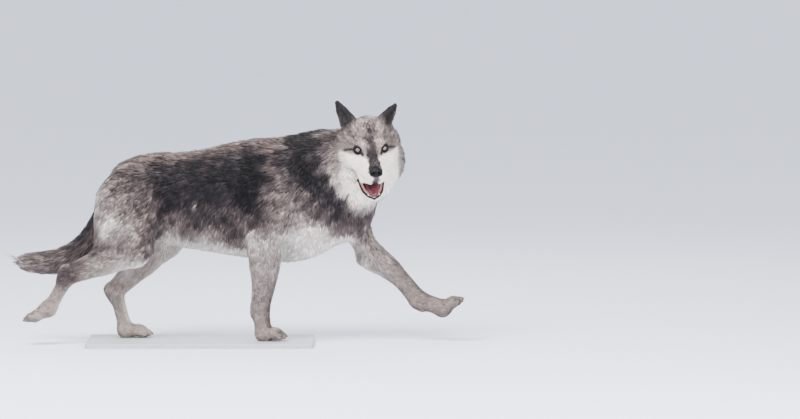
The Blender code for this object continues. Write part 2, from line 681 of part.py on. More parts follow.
def main():
    for obj in list(bpy.data.objects):
        bpy.data.objects.remove(obj)
    finishes = {
        "coat": material("coat", (0.34, 0.31, 0.31), 0.9),
        "face_coat": material("face_coat", (0.62, 0.59, 0.57), 0.9),
        "eye": material("eye", (0.42, 0.22, 0.06), 0.15),
        "nose_skin": material("nose_skin", (0.02, 0.02, 0.022), 0.45),
        "tongue_skin": material("tongue_skin", (0.45, 0.10, 0.11), 0.4),
        "stand": material("stand", (0.72, 0.70, 0.66), 0.6),
    }
    whole = meshed("wolf", wolf_distance, (-0.82, -0.40, -0.03), (1.02, 0.22, 1.0), CELL, TRIANGLES,
                   finishes["coat"])
    verts, faces = [], []
    for centre, normal, radius in cuts():
        ring, sides = disc(centre, normal, radius)
        faces += [[i + len(verts) for i in side] for side in sides]
        verts += ring
    carve(whole, add_object("cutter", mesh_of("cutter", verts, faces), finishes["coat"]))
    carve(whole, jaw_cutter(finishes["coat"]))
    loose = [add_object("piece", mesh_of("piece", p, f), finishes["coat"]) for p, f in islands(whole.data)]
    bpy.data.objects.remove(whole)
    parts = {}
    for name, point in seeds().items():
        piece = next((part for part in loose if holds(part, point)), None)
        if piece is None:
            raise ValueError(f"no part holds {name}")
        loose.remove(piece)
        piece.name = piece.data.name = name
        parts[name] = piece
    if loose:
        raise ValueError(f"{len(loose)} parts have no name")
    small_parts(finishes, parts)
    parts["stand_base"] = stand(finishes["stand"])
    for name in ("head", "jaw"):
        parts[name].data.materials[0] = finishes["face_coat"]
    root = bpy.data.objects.new("wolf", None)
    bpy.context.scene.collection.objects.link(root)
    settle_at_origin(list(parts.values()))
    for name, part in parts.items():
        part.parent = root
        if name != "stand_base":
            smooth(part)


main()
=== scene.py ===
"""Looks of the life-size grey wolf: one skin, a coat of tufts over it, and the pieces of its face and feet.

The wolf's own frame is that of its build: metres, +Z up, walking towards +X, its feet at z = 0. SHIFT takes it
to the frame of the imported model. The head's frame has its origin midway between the eyes and the axes
forward, left and up. What is alike on both sides of the head is given on its left and mirrored.
"""
import math

import bmesh
import bpy
import numpy as np
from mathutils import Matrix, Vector
from mathutils.bvhtree import BVHTree
from mathutils.kdtree import KDTree


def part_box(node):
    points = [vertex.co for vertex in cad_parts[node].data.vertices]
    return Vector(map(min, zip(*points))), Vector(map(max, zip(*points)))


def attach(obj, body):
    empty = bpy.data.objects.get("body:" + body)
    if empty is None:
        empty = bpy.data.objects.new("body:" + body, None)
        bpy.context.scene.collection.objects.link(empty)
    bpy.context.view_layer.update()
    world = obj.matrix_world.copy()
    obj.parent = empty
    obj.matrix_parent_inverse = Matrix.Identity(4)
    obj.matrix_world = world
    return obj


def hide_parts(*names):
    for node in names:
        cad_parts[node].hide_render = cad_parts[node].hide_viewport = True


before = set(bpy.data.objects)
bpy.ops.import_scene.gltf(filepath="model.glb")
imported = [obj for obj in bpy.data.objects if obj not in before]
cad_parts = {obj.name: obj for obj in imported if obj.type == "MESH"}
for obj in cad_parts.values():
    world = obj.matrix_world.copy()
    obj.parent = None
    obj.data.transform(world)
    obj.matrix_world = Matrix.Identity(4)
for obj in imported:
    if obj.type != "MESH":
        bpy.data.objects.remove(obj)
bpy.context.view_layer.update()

STAND_LOW, STAND_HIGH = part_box("stand_base")
SHIFT = np.array([(STAND_LOW.x + STAND_HIGH.x) / 2 + 0.055, (STAND_LOW.y + STAND_HIGH.y) / 2,
                  STAND_HIGH.z + 0.0003])
rng = np.random.default_rng(7)

# ---------------------------------------------------------------- driving sizes
FORE_BONES, FORE_TOES = (0.205, 0.258, 0.095), 0.082   # humerus, forearm, metacarpus; toes
HIND_BONES, HIND_TOES = (0.215, 0.270, 0.152), 0.098   # femur, tibia, metatarsus; toes
FORE_SIDES = (0.096, 0.076, 0.068)   # how far elbow, wrist and knuckles stand from the middle plane
HIND_SIDES = (0.098, 0.084, 0.070)   # the same of knee, hock and knuckles
TOES = ((-1.5, 0.80), (-0.5, 1.0), (0.5, 1.0), (1.5, 0.80))   # steps to the side, share of the full length
TOE_SPREAD = 0.0185   # one step sideways
EYE_RADIUS = 0.0125
EYE_PLACE = np.array([0.004, 0.0485, 0.0])
NOSE_PLACE, NOSE_SIZE = np.array([0.128, 0.0, -0.050]), np.array([0.015, 0.0240, 0.0190])
JAW_HINGE, JAW_OPEN = (-0.050, 0.0, -0.060), math.radians(30.5)
EAR_ROOT, LEFT_EAR_TIP = np.array([-0.088, 0.064, 0.067]), np.array([-0.122, 0.118, 0.128])
RIGHT_EAR_TIP = np.array([-0.092, 0.116, 0.168])   # given as if on the left
HEAD_PLACE = np.array([0.593, -0.194, 0.7385])
HEAD_TURN, HEAD_NOD, HEAD_TILT = -81.0, 16.0, 3.5   # degrees from +X, down, and towards the left ear
CELL = 0.0078   # mesh step of the skin before it is refined
REACH = 0.10   # how far from the surface its distance is still measured
HEAD_REACH, FACE_REACH = 0.36, 0.22   # how far from HEAD_PLACE the head, and the face on it, are felt
MIRROR = (1, -1, 1)


def unit(v):
    v = np.asarray(v, float)
    return v / np.linalg.norm(v)


def turned_down(angle):
    """The way that lies angle radians forward of straight down, and the way 90 degrees forward of it."""
    return np.array([math.sin(angle), 0, -math.cos(angle)]), np.array([math.cos(angle), 0, math.sin(angle)])


def head_axes():
    """Forward, left and up as the columns of a matrix."""
    turn, nod, tilt = (math.radians(a) for a in (HEAD_TURN, HEAD_NOD, HEAD_TILT))
    forward = np.array([math.cos(turn) * math.cos(nod), math.sin(turn) * math.cos(nod), -math.sin(nod)])
    left = unit(np.cross((0, 0, 1), forward))
    up = np.cross(forward, left)
    left, up = left * math.cos(tilt) + up * math.sin(tilt), up * math.cos(tilt) - left * math.sin(tilt)
    return np.column_stack([forward, left, up])


HEAD_AXES = head_axes()


def from_head(p):
    """A point of the head's frame in the wolf's frame."""
    return HEAD_PLACE + HEAD_AXES @ np.asarray(p, float)


def to_head(p):
    return (p - HEAD_PLACE) @ HEAD_AXES


def folded(q):
    """Points of the head's frame with those on its right mirrored to its left."""
    return np.column_stack([q[:, 0], np.abs(q[:, 1]), q[:, 2]])


def lengths(v):
    return np.linalg.norm(v, axis=1)


def dots(a, b):
    return np.einsum("ij,ij->i", a, b)


def ramp(x, a, b):
    """0 below a, 1 above b, smooth between."""
    t = np.clip((x - a) / (b - a), 0, 1)
    return t * t * (3 - 2 * t)


# ---------------------------------------------------------------- implicit forms
def off_line(p, a, b):
    """Each point's share of the way from a to b, and its offset from the nearest point between them."""
    v, way = p - a, b - a
    t = np.clip(v @ way / max(way @ way, 1e-12), 0, 1)
    return t, v - t[:, None] * way


class Form:
    """A tapered capsule from a to b with oval sections: wide is their width across over their height."""

    def __init__(self, a, b, ra, rb=None, wide=(1.0, 1.0), across=(0, 1, 0), blend=0.03):
        self.a, self.b = np.asarray(a, float), np.asarray(b, float)
        self.ra, self.rb = ra, ra if rb is None else rb
        self.wide, self.across, self.blend = wide, unit(across), blend
        reach = max(self.ra * max(1, wide[0]), self.rb * max(1, wide[1]))
        self.low, self.high = np.minimum(self.a, self.b) - reach, np.maximum(self.a, self.b) + reach

    def distance(self, p):
        t, v = off_line(p, self.a, self.b)
        radius = self.ra + t * (self.rb - self.ra)
        wide = self.wide[0] + t * (self.wide[1] - self.wide[0])
        side = v @ self.across
        rest = np.maximum(dots(v, v) - side**2, 0)
        scaled = np.sqrt(rest + (side / wide) ** 2) + 1e-9
        slope = np.sqrt(rest + (side / wide**2) ** 2) + 1e-9
        return (scaled - radius) * scaled / slope


class Ball:
    """An ellipsoid with its own axes, given as the columns of a matrix."""

    def __init__(self, centre, radii, axes=np.eye(3), blend=0.03):
        self.centre, self.radii = np.asarray(centre, float), np.asarray(radii, float)
        self.axes, self.blend = axes, blend
        self.low, self.high = self.centre - max(radii), self.centre + max(radii)

    def distance(self, p):
        v = (p - self.centre) @ self.axes
        k0, k1 = (lengths(v / self.radii**power) + 1e-9 for power in (1, 2))
        return k0 * (k0 - 1) / k1


class Tube:
    """Capsules end to end along a smooth path through stations of (point, radius, width over radius)."""

    def __init__(self, stations, blend=0.03):
        rows = np.array([[*p, r, w] for p, r, w in stations], float)
        ends = np.vstack([2 * rows[0] - rows[1], rows, 2 * rows[-1] - rows[-2]])
        fine = [rows[0]]
        for i in range(1, len(rows)):
            p0, p1, p2, p3 = ends[i - 1:i + 3]
            for t in (0.25, 0.5, 0.75, 1):
                fine.append(0.5 * (2 * p1 + (p2 - p0) * t + (2 * p0 - 5 * p1 + 4 * p2 - p3) * t**2
                                   + (3 * p1 - p0 - 3 * p2 + p3) * t**3))
        self.parts = [Form(a[:3], b[:3], a[3], b[3], (a[4], b[4])) for a, b in zip(fine, fine[1:])]
        self.blend = blend
        self.low = np.min([part.low for part in self.parts], 0)
        self.high = np.max([part.high for part in self.parts], 0)

    def distance(self, p):
        return np.min([part.distance(p) for part in self.parts], 0)


def smooth_min(a, b, k):
    h = np.maximum(k - np.abs(a - b), 0) / k
    return np.minimum(a, b) - h * h * k / 4


def cut(d, hole, k):
    """The distance d with a hole taken out of it, rounded over k."""
    return -smooth_min(-d, hole, k)


def union(forms, p):
    """The smooth union of the forms. A form is not felt further from its box than REACH."""
    d = np.full(len(p), REACH)
    for form in forms:
        near = np.flatnonzero(((p > form.low - REACH) & (p < form.high + REACH)).all(1))
        d[near] = smooth_min(d[near], form.distance(p[near]), form.blend)
    return d


# ---------------------------------------------------------------- trunk, neck and tail
TRUNK = [
    Tube([((0.415, 0, 0.588), 0.178, 0.70), ((0.300, 0, 0.530), 0.232, 0.60), ((0.150, 0, 0.536), 0.228, 0.60),
          ((0.000, 0, 0.532), 0.200, 0.68), ((-0.130, 0, 0.535), 0.180, 0.69), ((-0.250, 0, 0.560), 0.146, 0.74),
          ((-0.310, 0, 0.582), 0.098, 0.95)]),
    Form((0.31, 0, 0.682), (0.17, 0, 0.688), 0.078, 0.072, (0.9, 0.9)),   # withers
    Form((-0.20, 0, 0.613), (-0.308, 0, 0.598), 0.093, 0.084),   # croup
    Ball((0.498, 0.015, 0.490), (0.106, 0.110, 0.122), blend=0.04),   # breast
]
NECK = [
    Tube([((0.330, 0.000, 0.620), 0.140, 0.90), ((0.400, 0.000, 0.658), 0.140, 0.92),
          ((0.470, -0.008, 0.672), 0.130, 0.98), ((0.535, -0.030, 0.690), 0.122, 1.0)], blend=0.05),
    Form((0.450, 0.000, 0.600), (0.540, -0.025, 0.615), 0.148, 0.118, blend=0.05),   # throat
]
TAIL = [
    ((-0.352, 0.000, 0.600), 0.050, 0.85), ((-0.398, 0.000, 0.525), 0.042, 0.90),
    ((-0.435, 0.004, 0.450), 0.044, 0.90), ((-0.474, 0.012, 0.380), 0.049, 0.90),
    ((-0.527, 0.020, 0.328), 0.052, 0.85), ((-0.600, 0.026, 0.296), 0.052, 0.80),
    ((-0.669, 0.028, 0.291), 0.048, 0.80), ((-0.730, 0.028, 0.294), 0.034, 0.80),
    ((-0.768, 0.028, 0.297), 0.007, 0.80),
]

# ---------------------------------------------------------------- legs
# The right fore and left hind paws stand, the other two swing.
POSE = {   # shoulder or hip, then how far forward of straight down the long bones and the toes point, in degrees
    "fore_right": ((0.297, -0.084, 0.552), (-35.0, -1.5, 8.0), 86.0),
    "fore_left": ((0.458, 0.084, 0.480), (37.0, 48.0, 72.0), 119.0),
    "hind_right": ((-0.328, -0.070, 0.566), (7.0, -68.0, -30.0), -62.0),
    "hind_left": ((-0.305, 0.070, 0.556), (31.0, -45.0, 15.0), 84.0),
}
GIRTH = {"fore_right": 1.0, "fore_left": 0.74}   # how full the coat of the foreleg stands


def leg_joints(name):
    """Top, middle joint, wrist or hock, and knuckles of a leg."""
    side = -1 if name.endswith("right") else 1
    bones, sides = (FORE_BONES, FORE_SIDES) if name.startswith("fore") else (HIND_BONES, HIND_SIDES)
    joints = [np.asarray(POSE[name][0], float)]
    for length, angle, y in zip(bones, POSE[name][1], sides):
        end = joints[-1] + length * turned_down(math.radians(angle))[0]
        joints.append(np.array([end[0], side * y, end[2]]))
    return joints


LEGS = {name: leg_joints(name) for name in POSE}


def paw(name):
    """Where a paw points, the way to its back, its length and its width over a forepaw's."""
    return *turned_down(math.radians(POSE[name][2])), *((FORE_TOES, 1.0) if name.startswith("fore") else
                                                        (HIND_TOES, 0.94))


def toe_rows(name):
    """Of each toe: its knuckle moved sideways, how far its tip lies ahead, and the step sideways."""
    _, _, length, width = paw(name)
    for step, share in TOES:
        side = np.array([0, step * TOE_SPREAD * width, 0])
        yield LEGS[name][3] + side, share * length, side


def paw_forms(name):
    """Four toes side by side from the knuckles, the middle pair longest, before the broad middle of the paw."""
    ahead, top, length, width = paw(name)
    knuckle = LEGS[name][3]
    forms = [Form(knuckle - 0.006 * top, knuckle + 0.4 * length * ahead - 0.004 * top, 0.030, 0.024,
                  (1.15 * width, 1.35 * width), blend=0.02)]
    for start, long, side in toe_rows(name):
        root = knuckle + side * 0.8 + 0.30 * length * ahead
        bend = start + 0.62 * long * ahead + 0.002 * top
        tip = start + (long - 0.006) * ahead - 0.008 * top
        forms += [Form(root, bend, 0.0165, 0.0165, blend=0.010), Form(bend, tip, 0.0165, 0.0125, blend=0.010)]
    return forms


def fore_leg_forms(name):
    girth = GIRTH[name]
    wide = 0.72 / girth
    top, elbow, wrist, knuckle = LEGS[name]
    ahead = unit((wrist - elbow) * (1, 0, 1))
    front = np.array([-ahead[2], 0, ahead[0]])   # the side of the forearm that faces forward
    heel = unit((knuckle - wrist) * (1, 0, 1))
    return [
        Tube([(top, 0.090, 0.62), ((top + elbow) / 2 + 0.022 * front, 0.076 * girth, 0.62 / girth),
              (elbow + 0.008 * front, 0.060 * girth, 0.70 / girth)], blend=0.04),   # upper arm
        Tube([(elbow + 0.012 * front, 0.062 * girth, wide),
              (elbow + 0.085 * ahead + 0.014 * front, 0.060 * girth, wide),
              (elbow + 0.165 * ahead + 0.012 * front, 0.046 * girth, wide), (wrist, 0.035, 0.92)], blend=0.02),
        Form(elbow - 0.026 * front, elbow - 0.016 * front + 0.05 * ahead, 0.028, 0.022),   # point of elbow
        Form(wrist, knuckle, 0.034, 0.030, (0.98, 1.1), blend=0.015),
        Ball(wrist + 0.022 * heel - 0.024 * np.array([-heel[2], 0, heel[0]]), (0.012, 0.012, 0.014),
             blend=0.02),   # wrist pad
        *paw_forms(name)]


def hind_leg_forms(name):
    top, knee, hock, knuckle = LEGS[name]
    along = unit((knuckle - hock) * (1, 0, 1))
    back = np.array([along[2], 0, -along[0]])
    return [
        Tube([(top + (0.015, 0, 0.01), 0.099, 0.58), ((top + knee) / 2 + (-0.005, 0, 0.01), 0.112, 0.56),
              (knee, 0.070, 0.72)], blend=0.05),   # thigh
        Form(top + (-0.050, 0, -0.03), 0.55 * knee + 0.45 * hock, 0.070, 0.048, (0.7, 0.85), blend=0.05),
        Tube([(knee, 0.066, 0.74), ((2 * knee + hock) / 3, 0.056, 0.76), ((knee + 2 * hock) / 3, 0.046, 0.80),
              (hock, 0.036, 0.82)], blend=0.025),   # shank
        Form(hock + 0.020 * back - 0.010 * along, hock + 0.010 * back + 0.03 * along, 0.022, 0.022,
             blend=0.02),   # heel bone
        Tube([(hock, 0.029, 0.88), ((hock + knuckle) / 2, 0.0245, 1.0), (knuckle, 0.026, 1.10)], blend=0.015),
        *paw_forms(name)]


BODY = {"trunk": TRUNK, "neck": NECK, "tail": [Tube(TAIL, blend=0.02)],
        **{name: fore_leg_forms(name) if name in GIRTH else hind_leg_forms(name) for name in LEGS}}
REGIONS = [*BODY, "head", "ears", "jaw"]

# ---------------------------------------------------------------- head
SKULL = [   # half of the head with its coat
    Ball((-0.075, 0, 0.024), (0.085, 0.080, 0.084), blend=0.02),   # cranium and crown
    Ball((-0.014, 0.028, 0.012), (0.036, 0.036, 0.028), blend=0.02),   # brow
    Ball((-0.050, 0.050, -0.042), (0.062, 0.050, 0.060), blend=0.03),   # cheek
    Tube([((0.000, 0, -0.038), 0.048, 1.08), ((0.040, 0, -0.048), 0.041, 0.98),
          ((0.076, 0, -0.055), 0.036, 0.93), ((0.099, 0, -0.060), 0.033, 0.92)], blend=0.02),   # muzzle
    Form((-0.002, 0.044, -0.074), (0.100, 0.018, -0.080), 0.019, 0.017, blend=0.02),   # upper lip
    Ball((-0.100, 0, -0.086), (0.070, 0.148, 0.146), blend=0.03),   # ruff
    Ball((-0.085, 0.068, 0.002), (0.056, 0.057, 0.061), blend=0.03),   # temple
    Ball((-0.074, 0.030, -0.160), (0.058, 0.062, 0.080), blend=0.03),   # ruff under the jaw
]
FLEWS = [   # half of the upper lip's hanging edge
    Form((-0.006, 0.052, -0.088), (0.050, 0.038, -0.106), 0.008, 0.010),
    Form((0.050, 0.038, -0.106), (0.094, 0.016, -0.098), 0.010, 0.010, blend=0.01),
]
JAW = [   # half of the lower jaw and its beard, as they lie when shut
    Tube([((-0.030, 0, -0.112), 0.036, 1.62), ((0.030, 0, -0.117), 0.028, 1.85), ((0.068, 0, -0.114), 0.022, 1.95),
          ((0.092, 0, -0.110), 0.017, 1.70), ((0.104, 0, -0.108), 0.013, 1.20)], blend=0.012),
    Ball((0.010, 0, -0.134), (0.076, 0.036, 0.026), blend=0.03),
]
TONGUE = Tube([((-0.012, 0, -0.090), 0.013, 2.2), ((0.030, 0, -0.091), 0.012, 2.3),
               ((0.064, 0, -0.092), 0.011, 2.2), ((0.088, 0, -0.094), 0.009, 2.0),
               ((0.101, 0, -0.098), 0.007, 1.7)])
MOUTH = Form((-0.028, 0, -0.089), (0.120, 0, -0.152), 0.006, 0.048, (11.0, 2.0))


def swung(p, angle):
    """Points of the head's frame turned downwards about the hinge of the jaw."""
    p = np.asarray(p, float)
    f, w = p[..., 0] - JAW_HINGE[0], p[..., 2] - JAW_HINGE[2]
    out = np.array(p)
    out[..., 0] = JAW_HINGE[0] + f * math.cos(angle) + w * math.sin(angle)
    out[..., 2] = JAW_HINGE[2] - f * math.sin(angle) + w * math.cos(angle)
    return out


def opened(p):
    """Points given for the shut jaw, in the head's frame."""
    return swung(p, JAW_OPEN)


def shut(p):
    """Points of the head's frame in that of the lower jaw as it lies when shut."""
    return swung(p, -JAW_OPEN)


def ear_frame(tip):
    """Along an ear, across its opening, and out of its opening."""
    along = unit(tip - EAR_ROOT)
    out = unit((0.78, 0.60, 0.0))
    out = unit(out - along * (out @ along))
    return along, np.cross(out, along), out


def ear_distance(p, tip):
    """An ear of the left side: a flattened cone with its front scooped out."""
    along, _, out = ear_frame(tip)
    root, bend = EAR_ROOT, 0.45 * EAR_ROOT + 0.55 * tip
    shell = np.minimum(Form(root - 0.01 * along, bend, 0.041, 0.026, (0.62, 0.46), out).distance(p),
                       Form(bend, tip, 0.026, 0.0055, (0.46, 0.8), out).distance(p))
    scoop = Form(root + 0.016 * along + 0.026 * out, 0.14 * root + 0.86 * tip + 0.008 * out,
                 0.026, 0.006, (0.85, 0.8), out).distance(p)
    return cut(shell, scoop, 0.004)


def both_ears_distance(q):
    return np.minimum(ear_distance(q, LEFT_EAR_TIP), ear_distance(q * MIRROR, RIGHT_EAR_TIP))


# ---------------------------------------------------------------- lips
LIP = 0.0024   # half the thickness of the lower lip's edge
MOUTH_CORNER = np.array([-0.008, 0.0560, -0.0960])
UPPER_LIP = np.array([MOUTH_CORNER, (0.020, 0.0495, -0.1075), (0.046, 0.0425, -0.1150), (0.072, 0.0320, -0.1120),
                      (0.094, 0.0170, -0.1060), (0.104, 0, -0.1000)])


def lower_lip():
    """The edge of the lower lip, from the corner of the mouth along the jaw's flank to its tip."""
    points = []
    across, ahead, one = np.linspace(0.010, 0.070, 61), np.linspace(0.090, 0.130, 61), np.ones(61)
    lines = [np.column_stack([forward * one, across, high * one]) for forward, high in (
        (0.012, -0.106), (0.032, -0.106), (0.052, -0.105), (0.070, -0.104), (0.086, -0.102), (0.097, -0.101))]
    for line in [*lines, np.column_stack([ahead, 0 * one, -0.100 * one])]:
        points.append(line[np.argmin(np.abs(union(JAW, line) + 0.001))])
    return np.array([MOUTH_CORNER, *opened(points)])


LOWER_LIP = lower_lip()


def lip_distance(q, path):
    """Distance from the edge of a lip; q is folded."""
    d = np.full(len(q), REACH)
    edge = LIP if path is LOWER_LIP else 0.6 * LIP
    for k, (a, b) in enumerate(zip(path, path[1:])):
        d = np.minimum(d, Form(a, b, edge if k else 0.5 * edge, edge).distance(q))
    return d


def lips_distance(q):
    return np.minimum(lip_distance(q, LOWER_LIP), lip_distance(q, UPPER_LIP))


def beyond_lip(q, path):
    """How far the folded q lies outward of the edge of a lip, level with the head."""
    least, beyond = np.full(len(q), np.inf), np.zeros(len(q))
    for a, b in zip(path, path[1:]):
        off = off_line(q, a, b)[1]
        out = (q - off)[:, :2] - (0.02, 0)
        away = lengths(off)
        beyond = np.where(away < least, dots(off[:, :2], out) / lengths(out), beyond)
        least = np.minimum(least, away)
    return beyond


def near_corner(q):
    """1 at the corner of the mouth, 0 beyond 3 cm from it; q is folded."""
    return ramp(0.030 - lengths(q - MOUTH_CORNER), 0, 0.016)


# ---------------------------------------------------------------- regions of the coat
def region_distances(p):
    """Distance of p from the coat's outline of each region, the head's with the mouth cut out of it."""
    near = {name: union(forms, p) for name, forms in BODY.items()}
    near.update({name: np.full(len(p), REACH) for name in ("head", "ears", "jaw")})
    close = np.flatnonzero(lengths(p - HEAD_PLACE) < HEAD_REACH)
    if len(close):
        q = to_head(p[close])
        near["ears"][close] = both_ears_distance(q)
        q = folded(q)
        upper = cut(union(SKULL, q), MOUTH.distance(q), 0.008)
        near["head"][close] = smooth_min(upper, union(FLEWS, q), 0.010)
        near["jaw"][close] = union(JAW, shut(q))
    return near


def outline(near):
    """The whole coat's outline from the distances of its regions."""
    d = near["trunk"]
    for name, blend in {"neck": 0.05, "tail": 0.02, **dict.fromkeys(LEGS, 0.025)}.items():
        d = smooth_min(d, near[name], blend)
    head = smooth_min(smooth_min(near["head"], near["ears"], 0.012), near["jaw"], 0.008)
    return smooth_min(d, head, 0.03)


def shares(near):
    """How much each region counts at each point."""
    stack = np.array([near[name] for name in REGIONS])
    w = np.exp(-(stack - stack.min(0)) / 0.010)
    return w / w.sum(0)


def head_length(q):
    """0 where the face's coat is shortest, 1 in the ruff."""
    back = ramp(-q[:, 0], 0.005, 0.125)
    side = 0.9 * ramp(np.abs(q[:, 1]), 0.060, 0.125)
    low = ramp(-q[:, 2], 0.095, 0.190) * ramp(0.065 - q[:, 0], 0, 0.08)
    return np.maximum(np.maximum(back, side), low)


def leg_share(name, p):
    """0 at the paw, 1 at the top of the leg."""
    return ramp(lengths(p - LEGS[name][3]), 0.045, 0.42)


def depth(p, near):
    """How far the skin lies under the coat's outline."""
    q = to_head(p)
    bare_lip = np.ones(len(p))
    close = np.flatnonzero((np.abs(near["jaw"]) < 0.05) | (np.abs(near["head"]) < 0.05))
    bare_lip[close] = 0.2 + 0.8 * ramp(lips_distance(folded(q[close])), 0.002, 0.022)
    deep = {"trunk": 0.020, "neck": 0.028, "tail": 0.024, "ears": 0.0014,
            "head": (0.0022 + 0.016 * head_length(q) - 0.0008 * ramp(q[:, 0], 0.05, 0.10)) * bare_lip,
            "jaw": (0.0020 + 0.008 * ramp(0.06 - q[:, 0], 0, 0.06)) * bare_lip,
            **{name: 0.0020 + 0.012 * leg_share(name, p) for name in LEGS}}
    return sum(share * deep[name] for name, share in zip(REGIONS, shares(near)))


# ---------------------------------------------------------------- skin
EYE_OPENING = (0.0132, 0.0092, 0.0076)   # half width, height above and below the middle
LID = 0.0026   # thickness of the lids over the eyeball


def eye_axes():
    """Out of the eye's opening, along it from the inner to the outer corner, and up, on the left side."""
    out = unit((0.93, 0.34, 0.05))
    along = unit(np.cross((0, 0, 1), out))
    up = np.cross(out, along)
    tilt = math.radians(11)
    return out, along * math.cos(tilt) + up * math.sin(tilt), up * math.cos(tilt) - along * math.sin(tilt)


EYE_OUT, EYE_ALONG, EYE_UP = eye_axes()


def eye_parts(q):
    """Distance from the eye's middle, and place along, up and out of its opening; q is folded."""
    e = q - EYE_PLACE
    return lengths(e), e @ EYE_ALONG, e @ EYE_UP, e @ EYE_OUT


def face_details(d, q):
    """Adds lids, the furrow of the brow, cheek pouches, philtrum and lips to the distance d of the skin."""
    q = folded(q)
    r, along, up, out = eye_parts(q)
    d = smooth_min(d, r - (EYE_RADIUS + LID), 0.007)
    wide, high, low = EYE_OPENING
    height = np.where(up > 0, high, low)
    almond = (np.abs(up) / height + (along / wide) ** 2 - 1) * height * 0.75
    d = cut(d, cut(almond, out + 0.002, 0.002), 0.0012)
    furrow = Form((0.030, 0, 0.000), (-0.020, 0, 0.088), 0.0035, 0.0055)
    pouch = Form((0.004, 0.052, -0.1060), (0.046, 0.030, -0.1350), 0.0040, 0.0100)
    philtrum = Form((0.128, 0, -0.072), (0.112, 0, -0.098), 0.0010)
    for form, grown_by, blend in ((furrow, 0.001, 0.012), (pouch, 0, 0.004), (philtrum, 0, 0.004)):
        d = cut(d, form.distance(q) - grown_by, blend)
    for path in (LOWER_LIP, UPPER_LIP):
        d = smooth_min(d, lip_distance(q, path), 0.007)
    return d


def skin_distance(p):
    near = region_distances(p)
    d = outline(near) + depth(p, near)
    close = np.flatnonzero(lengths(p - HEAD_PLACE) < FACE_REACH)
    if len(close):
        d[close] = face_details(d[close], to_head(p[close]))
    return np.maximum(d, 0.0005 - p[:, 2])   # flat on the ground


# ---------------------------------------------------------------- meshing
def grid_values(field, axes, coarse=4):
    """The field on a grid, exact near the surface and copied from a coarser grid elsewhere."""
    rough = np.meshgrid(*(a[::coarse] for a in axes), indexing="ij")
    values = field(np.column_stack([g.ravel() for g in rough])).reshape(rough[0].shape)
    index = [np.minimum(np.arange(len(a)) // coarse, values.shape[i] - 1) for i, a in enumerate(axes)]
    full = values[np.ix_(*index)]
    close = np.argwhere(np.abs(full) < 1.6 * coarse * (axes[0][1] - axes[0][0]))
    full[tuple(close.T)] = field(np.column_stack([a[close[:, i]] for i, a in enumerate(axes)]))
    return full


def surface_net(field, low, high, cell):
    """Vertices and quads of the field's zero surface, one vertex in each cell that it crosses."""
    axes = [np.arange(a, b + cell, cell) for a, b in zip(low, high)]
    values = grid_values(field, axes)
    inside = values < 0
    corner = [np.array([i >> 2 & 1, i >> 1 & 1, i & 1]) for i in range(8)]
    shape = np.array(values.shape) - 1
    held = sum(inside[tuple(slice(a, a + n) for a, n in zip(c, shape))].astype(np.int8) for c in corner)
    cells = np.argwhere((held > 0) & (held < 8))
    at = [values[tuple((cells + c).T)] for c in corner]
    total, count = np.zeros((len(cells), 3)), np.zeros(len(cells))
    for i, j in ((i, i | bit) for i in range(8) for bit in (1, 2, 4) if not i & bit):
        cross = (at[i] < 0) != (at[j] < 0)
        t = np.where(cross, at[i] / np.where(cross, at[i] - at[j], 1), 0)
        total += np.where(cross[:, None], corner[i] + t[:, None] * (corner[j] - corner[i]), 0)
        count += cross
    points = np.asarray(low) + (cells + total / count[:, None]) * cell
    number = -np.ones(shape, int)
    number[tuple(cells.T)] = np.arange(len(cells))
    quads = []
    steps = np.eye(3, dtype=int)
    for axis in range(3):
        u, v = steps[(axis + 1) % 3], steps[(axis + 2) % 3]
        first, last = (inside[tuple(ends if i == axis else slice(1, -1) for i in range(3))]
                       for ends in (slice(0, -1), slice(1, None)))
        crossed = np.argwhere(first != last)
        quad = np.column_stack([number[tuple((crossed + u + v - d).T)] for d in (u + v, v, 0 * u, u)])
        quads.append(np.where(first[tuple(crossed.T)][:, None], quad, quad[:, ::-1]))
    return settled(field, points), np.vstack(quads)


def settled(field, points, rounds=2, step=0.0015):
    """Points moved along the field's slope onto its zero surface."""
    for _ in range(rounds):
        value = field(points)
        slope = np.column_stack([(field(points + step * e) - field(points - step * e)) / (2 * step)
                                 for e in np.eye(3)])
        size = np.maximum(dots(slope, slope), 0.25)
        points = points - slope * np.clip(value / size, -0.004, 0.004)[:, None]
    return points


def to_bmesh(points, quads):
    bm = bmesh.new()
    verts = [bm.verts.new(p) for p in points.tolist()]
    for quad in quads.tolist():
        if len(set(quad)) > 2:
            try:
                bm.faces.new([verts[i] for i in quad])
            except ValueError:   # the same face twice, where two sheets touch
                pass
    return bm


def refine(bm, zone):
    """Cuts the faces in the zone in four, and settles and evens their points on the skin."""
    centres = np.array([f.calc_center_median()[:] for f in bm.faces])
    bm.faces.ensure_lookup_table()
    edges = {e for i in np.flatnonzero(zone(centres)) for e in bm.faces[i].edges}
    bmesh.ops.subdivide_edges(bm, edges=list(edges), cuts=1, use_grid_fill=True)
    verts = list(bm.verts)
    places = np.array([v.co[:] for v in verts])
    inside = np.flatnonzero(zone(places))
    if not len(inside):
        return
    for place, v in zip(settled(skin_distance, places[inside]).tolist(), [verts[i] for i in inside]):
        v.co = place
    even = []
    for v in (verts[i] for i in inside):
        around = [e.other_vert(v).co[:] for e in v.link_edges]
        even.append(0.6 * np.array(v.co[:]) + 0.4 * np.mean(around, 0))
    for place, v in zip(settled(skin_distance, np.array(even), 1).tolist(), [verts[i] for i in inside]):
        v.co = place


def zone_head(p):
    q = to_head(p)
    paws = np.min([lengths(p - joints[3]) for joints in LEGS.values()], 0)
    round_head = lengths(q * (1, 1, 0.8) - (-0.02, 0, 0.01)) < 0.19
    return (round_head & (q[:, 0] > -0.04)) | ((both_ears_distance(q) < 0.02) & (q[:, 2] > 0.07)) | (paws < 0.085)


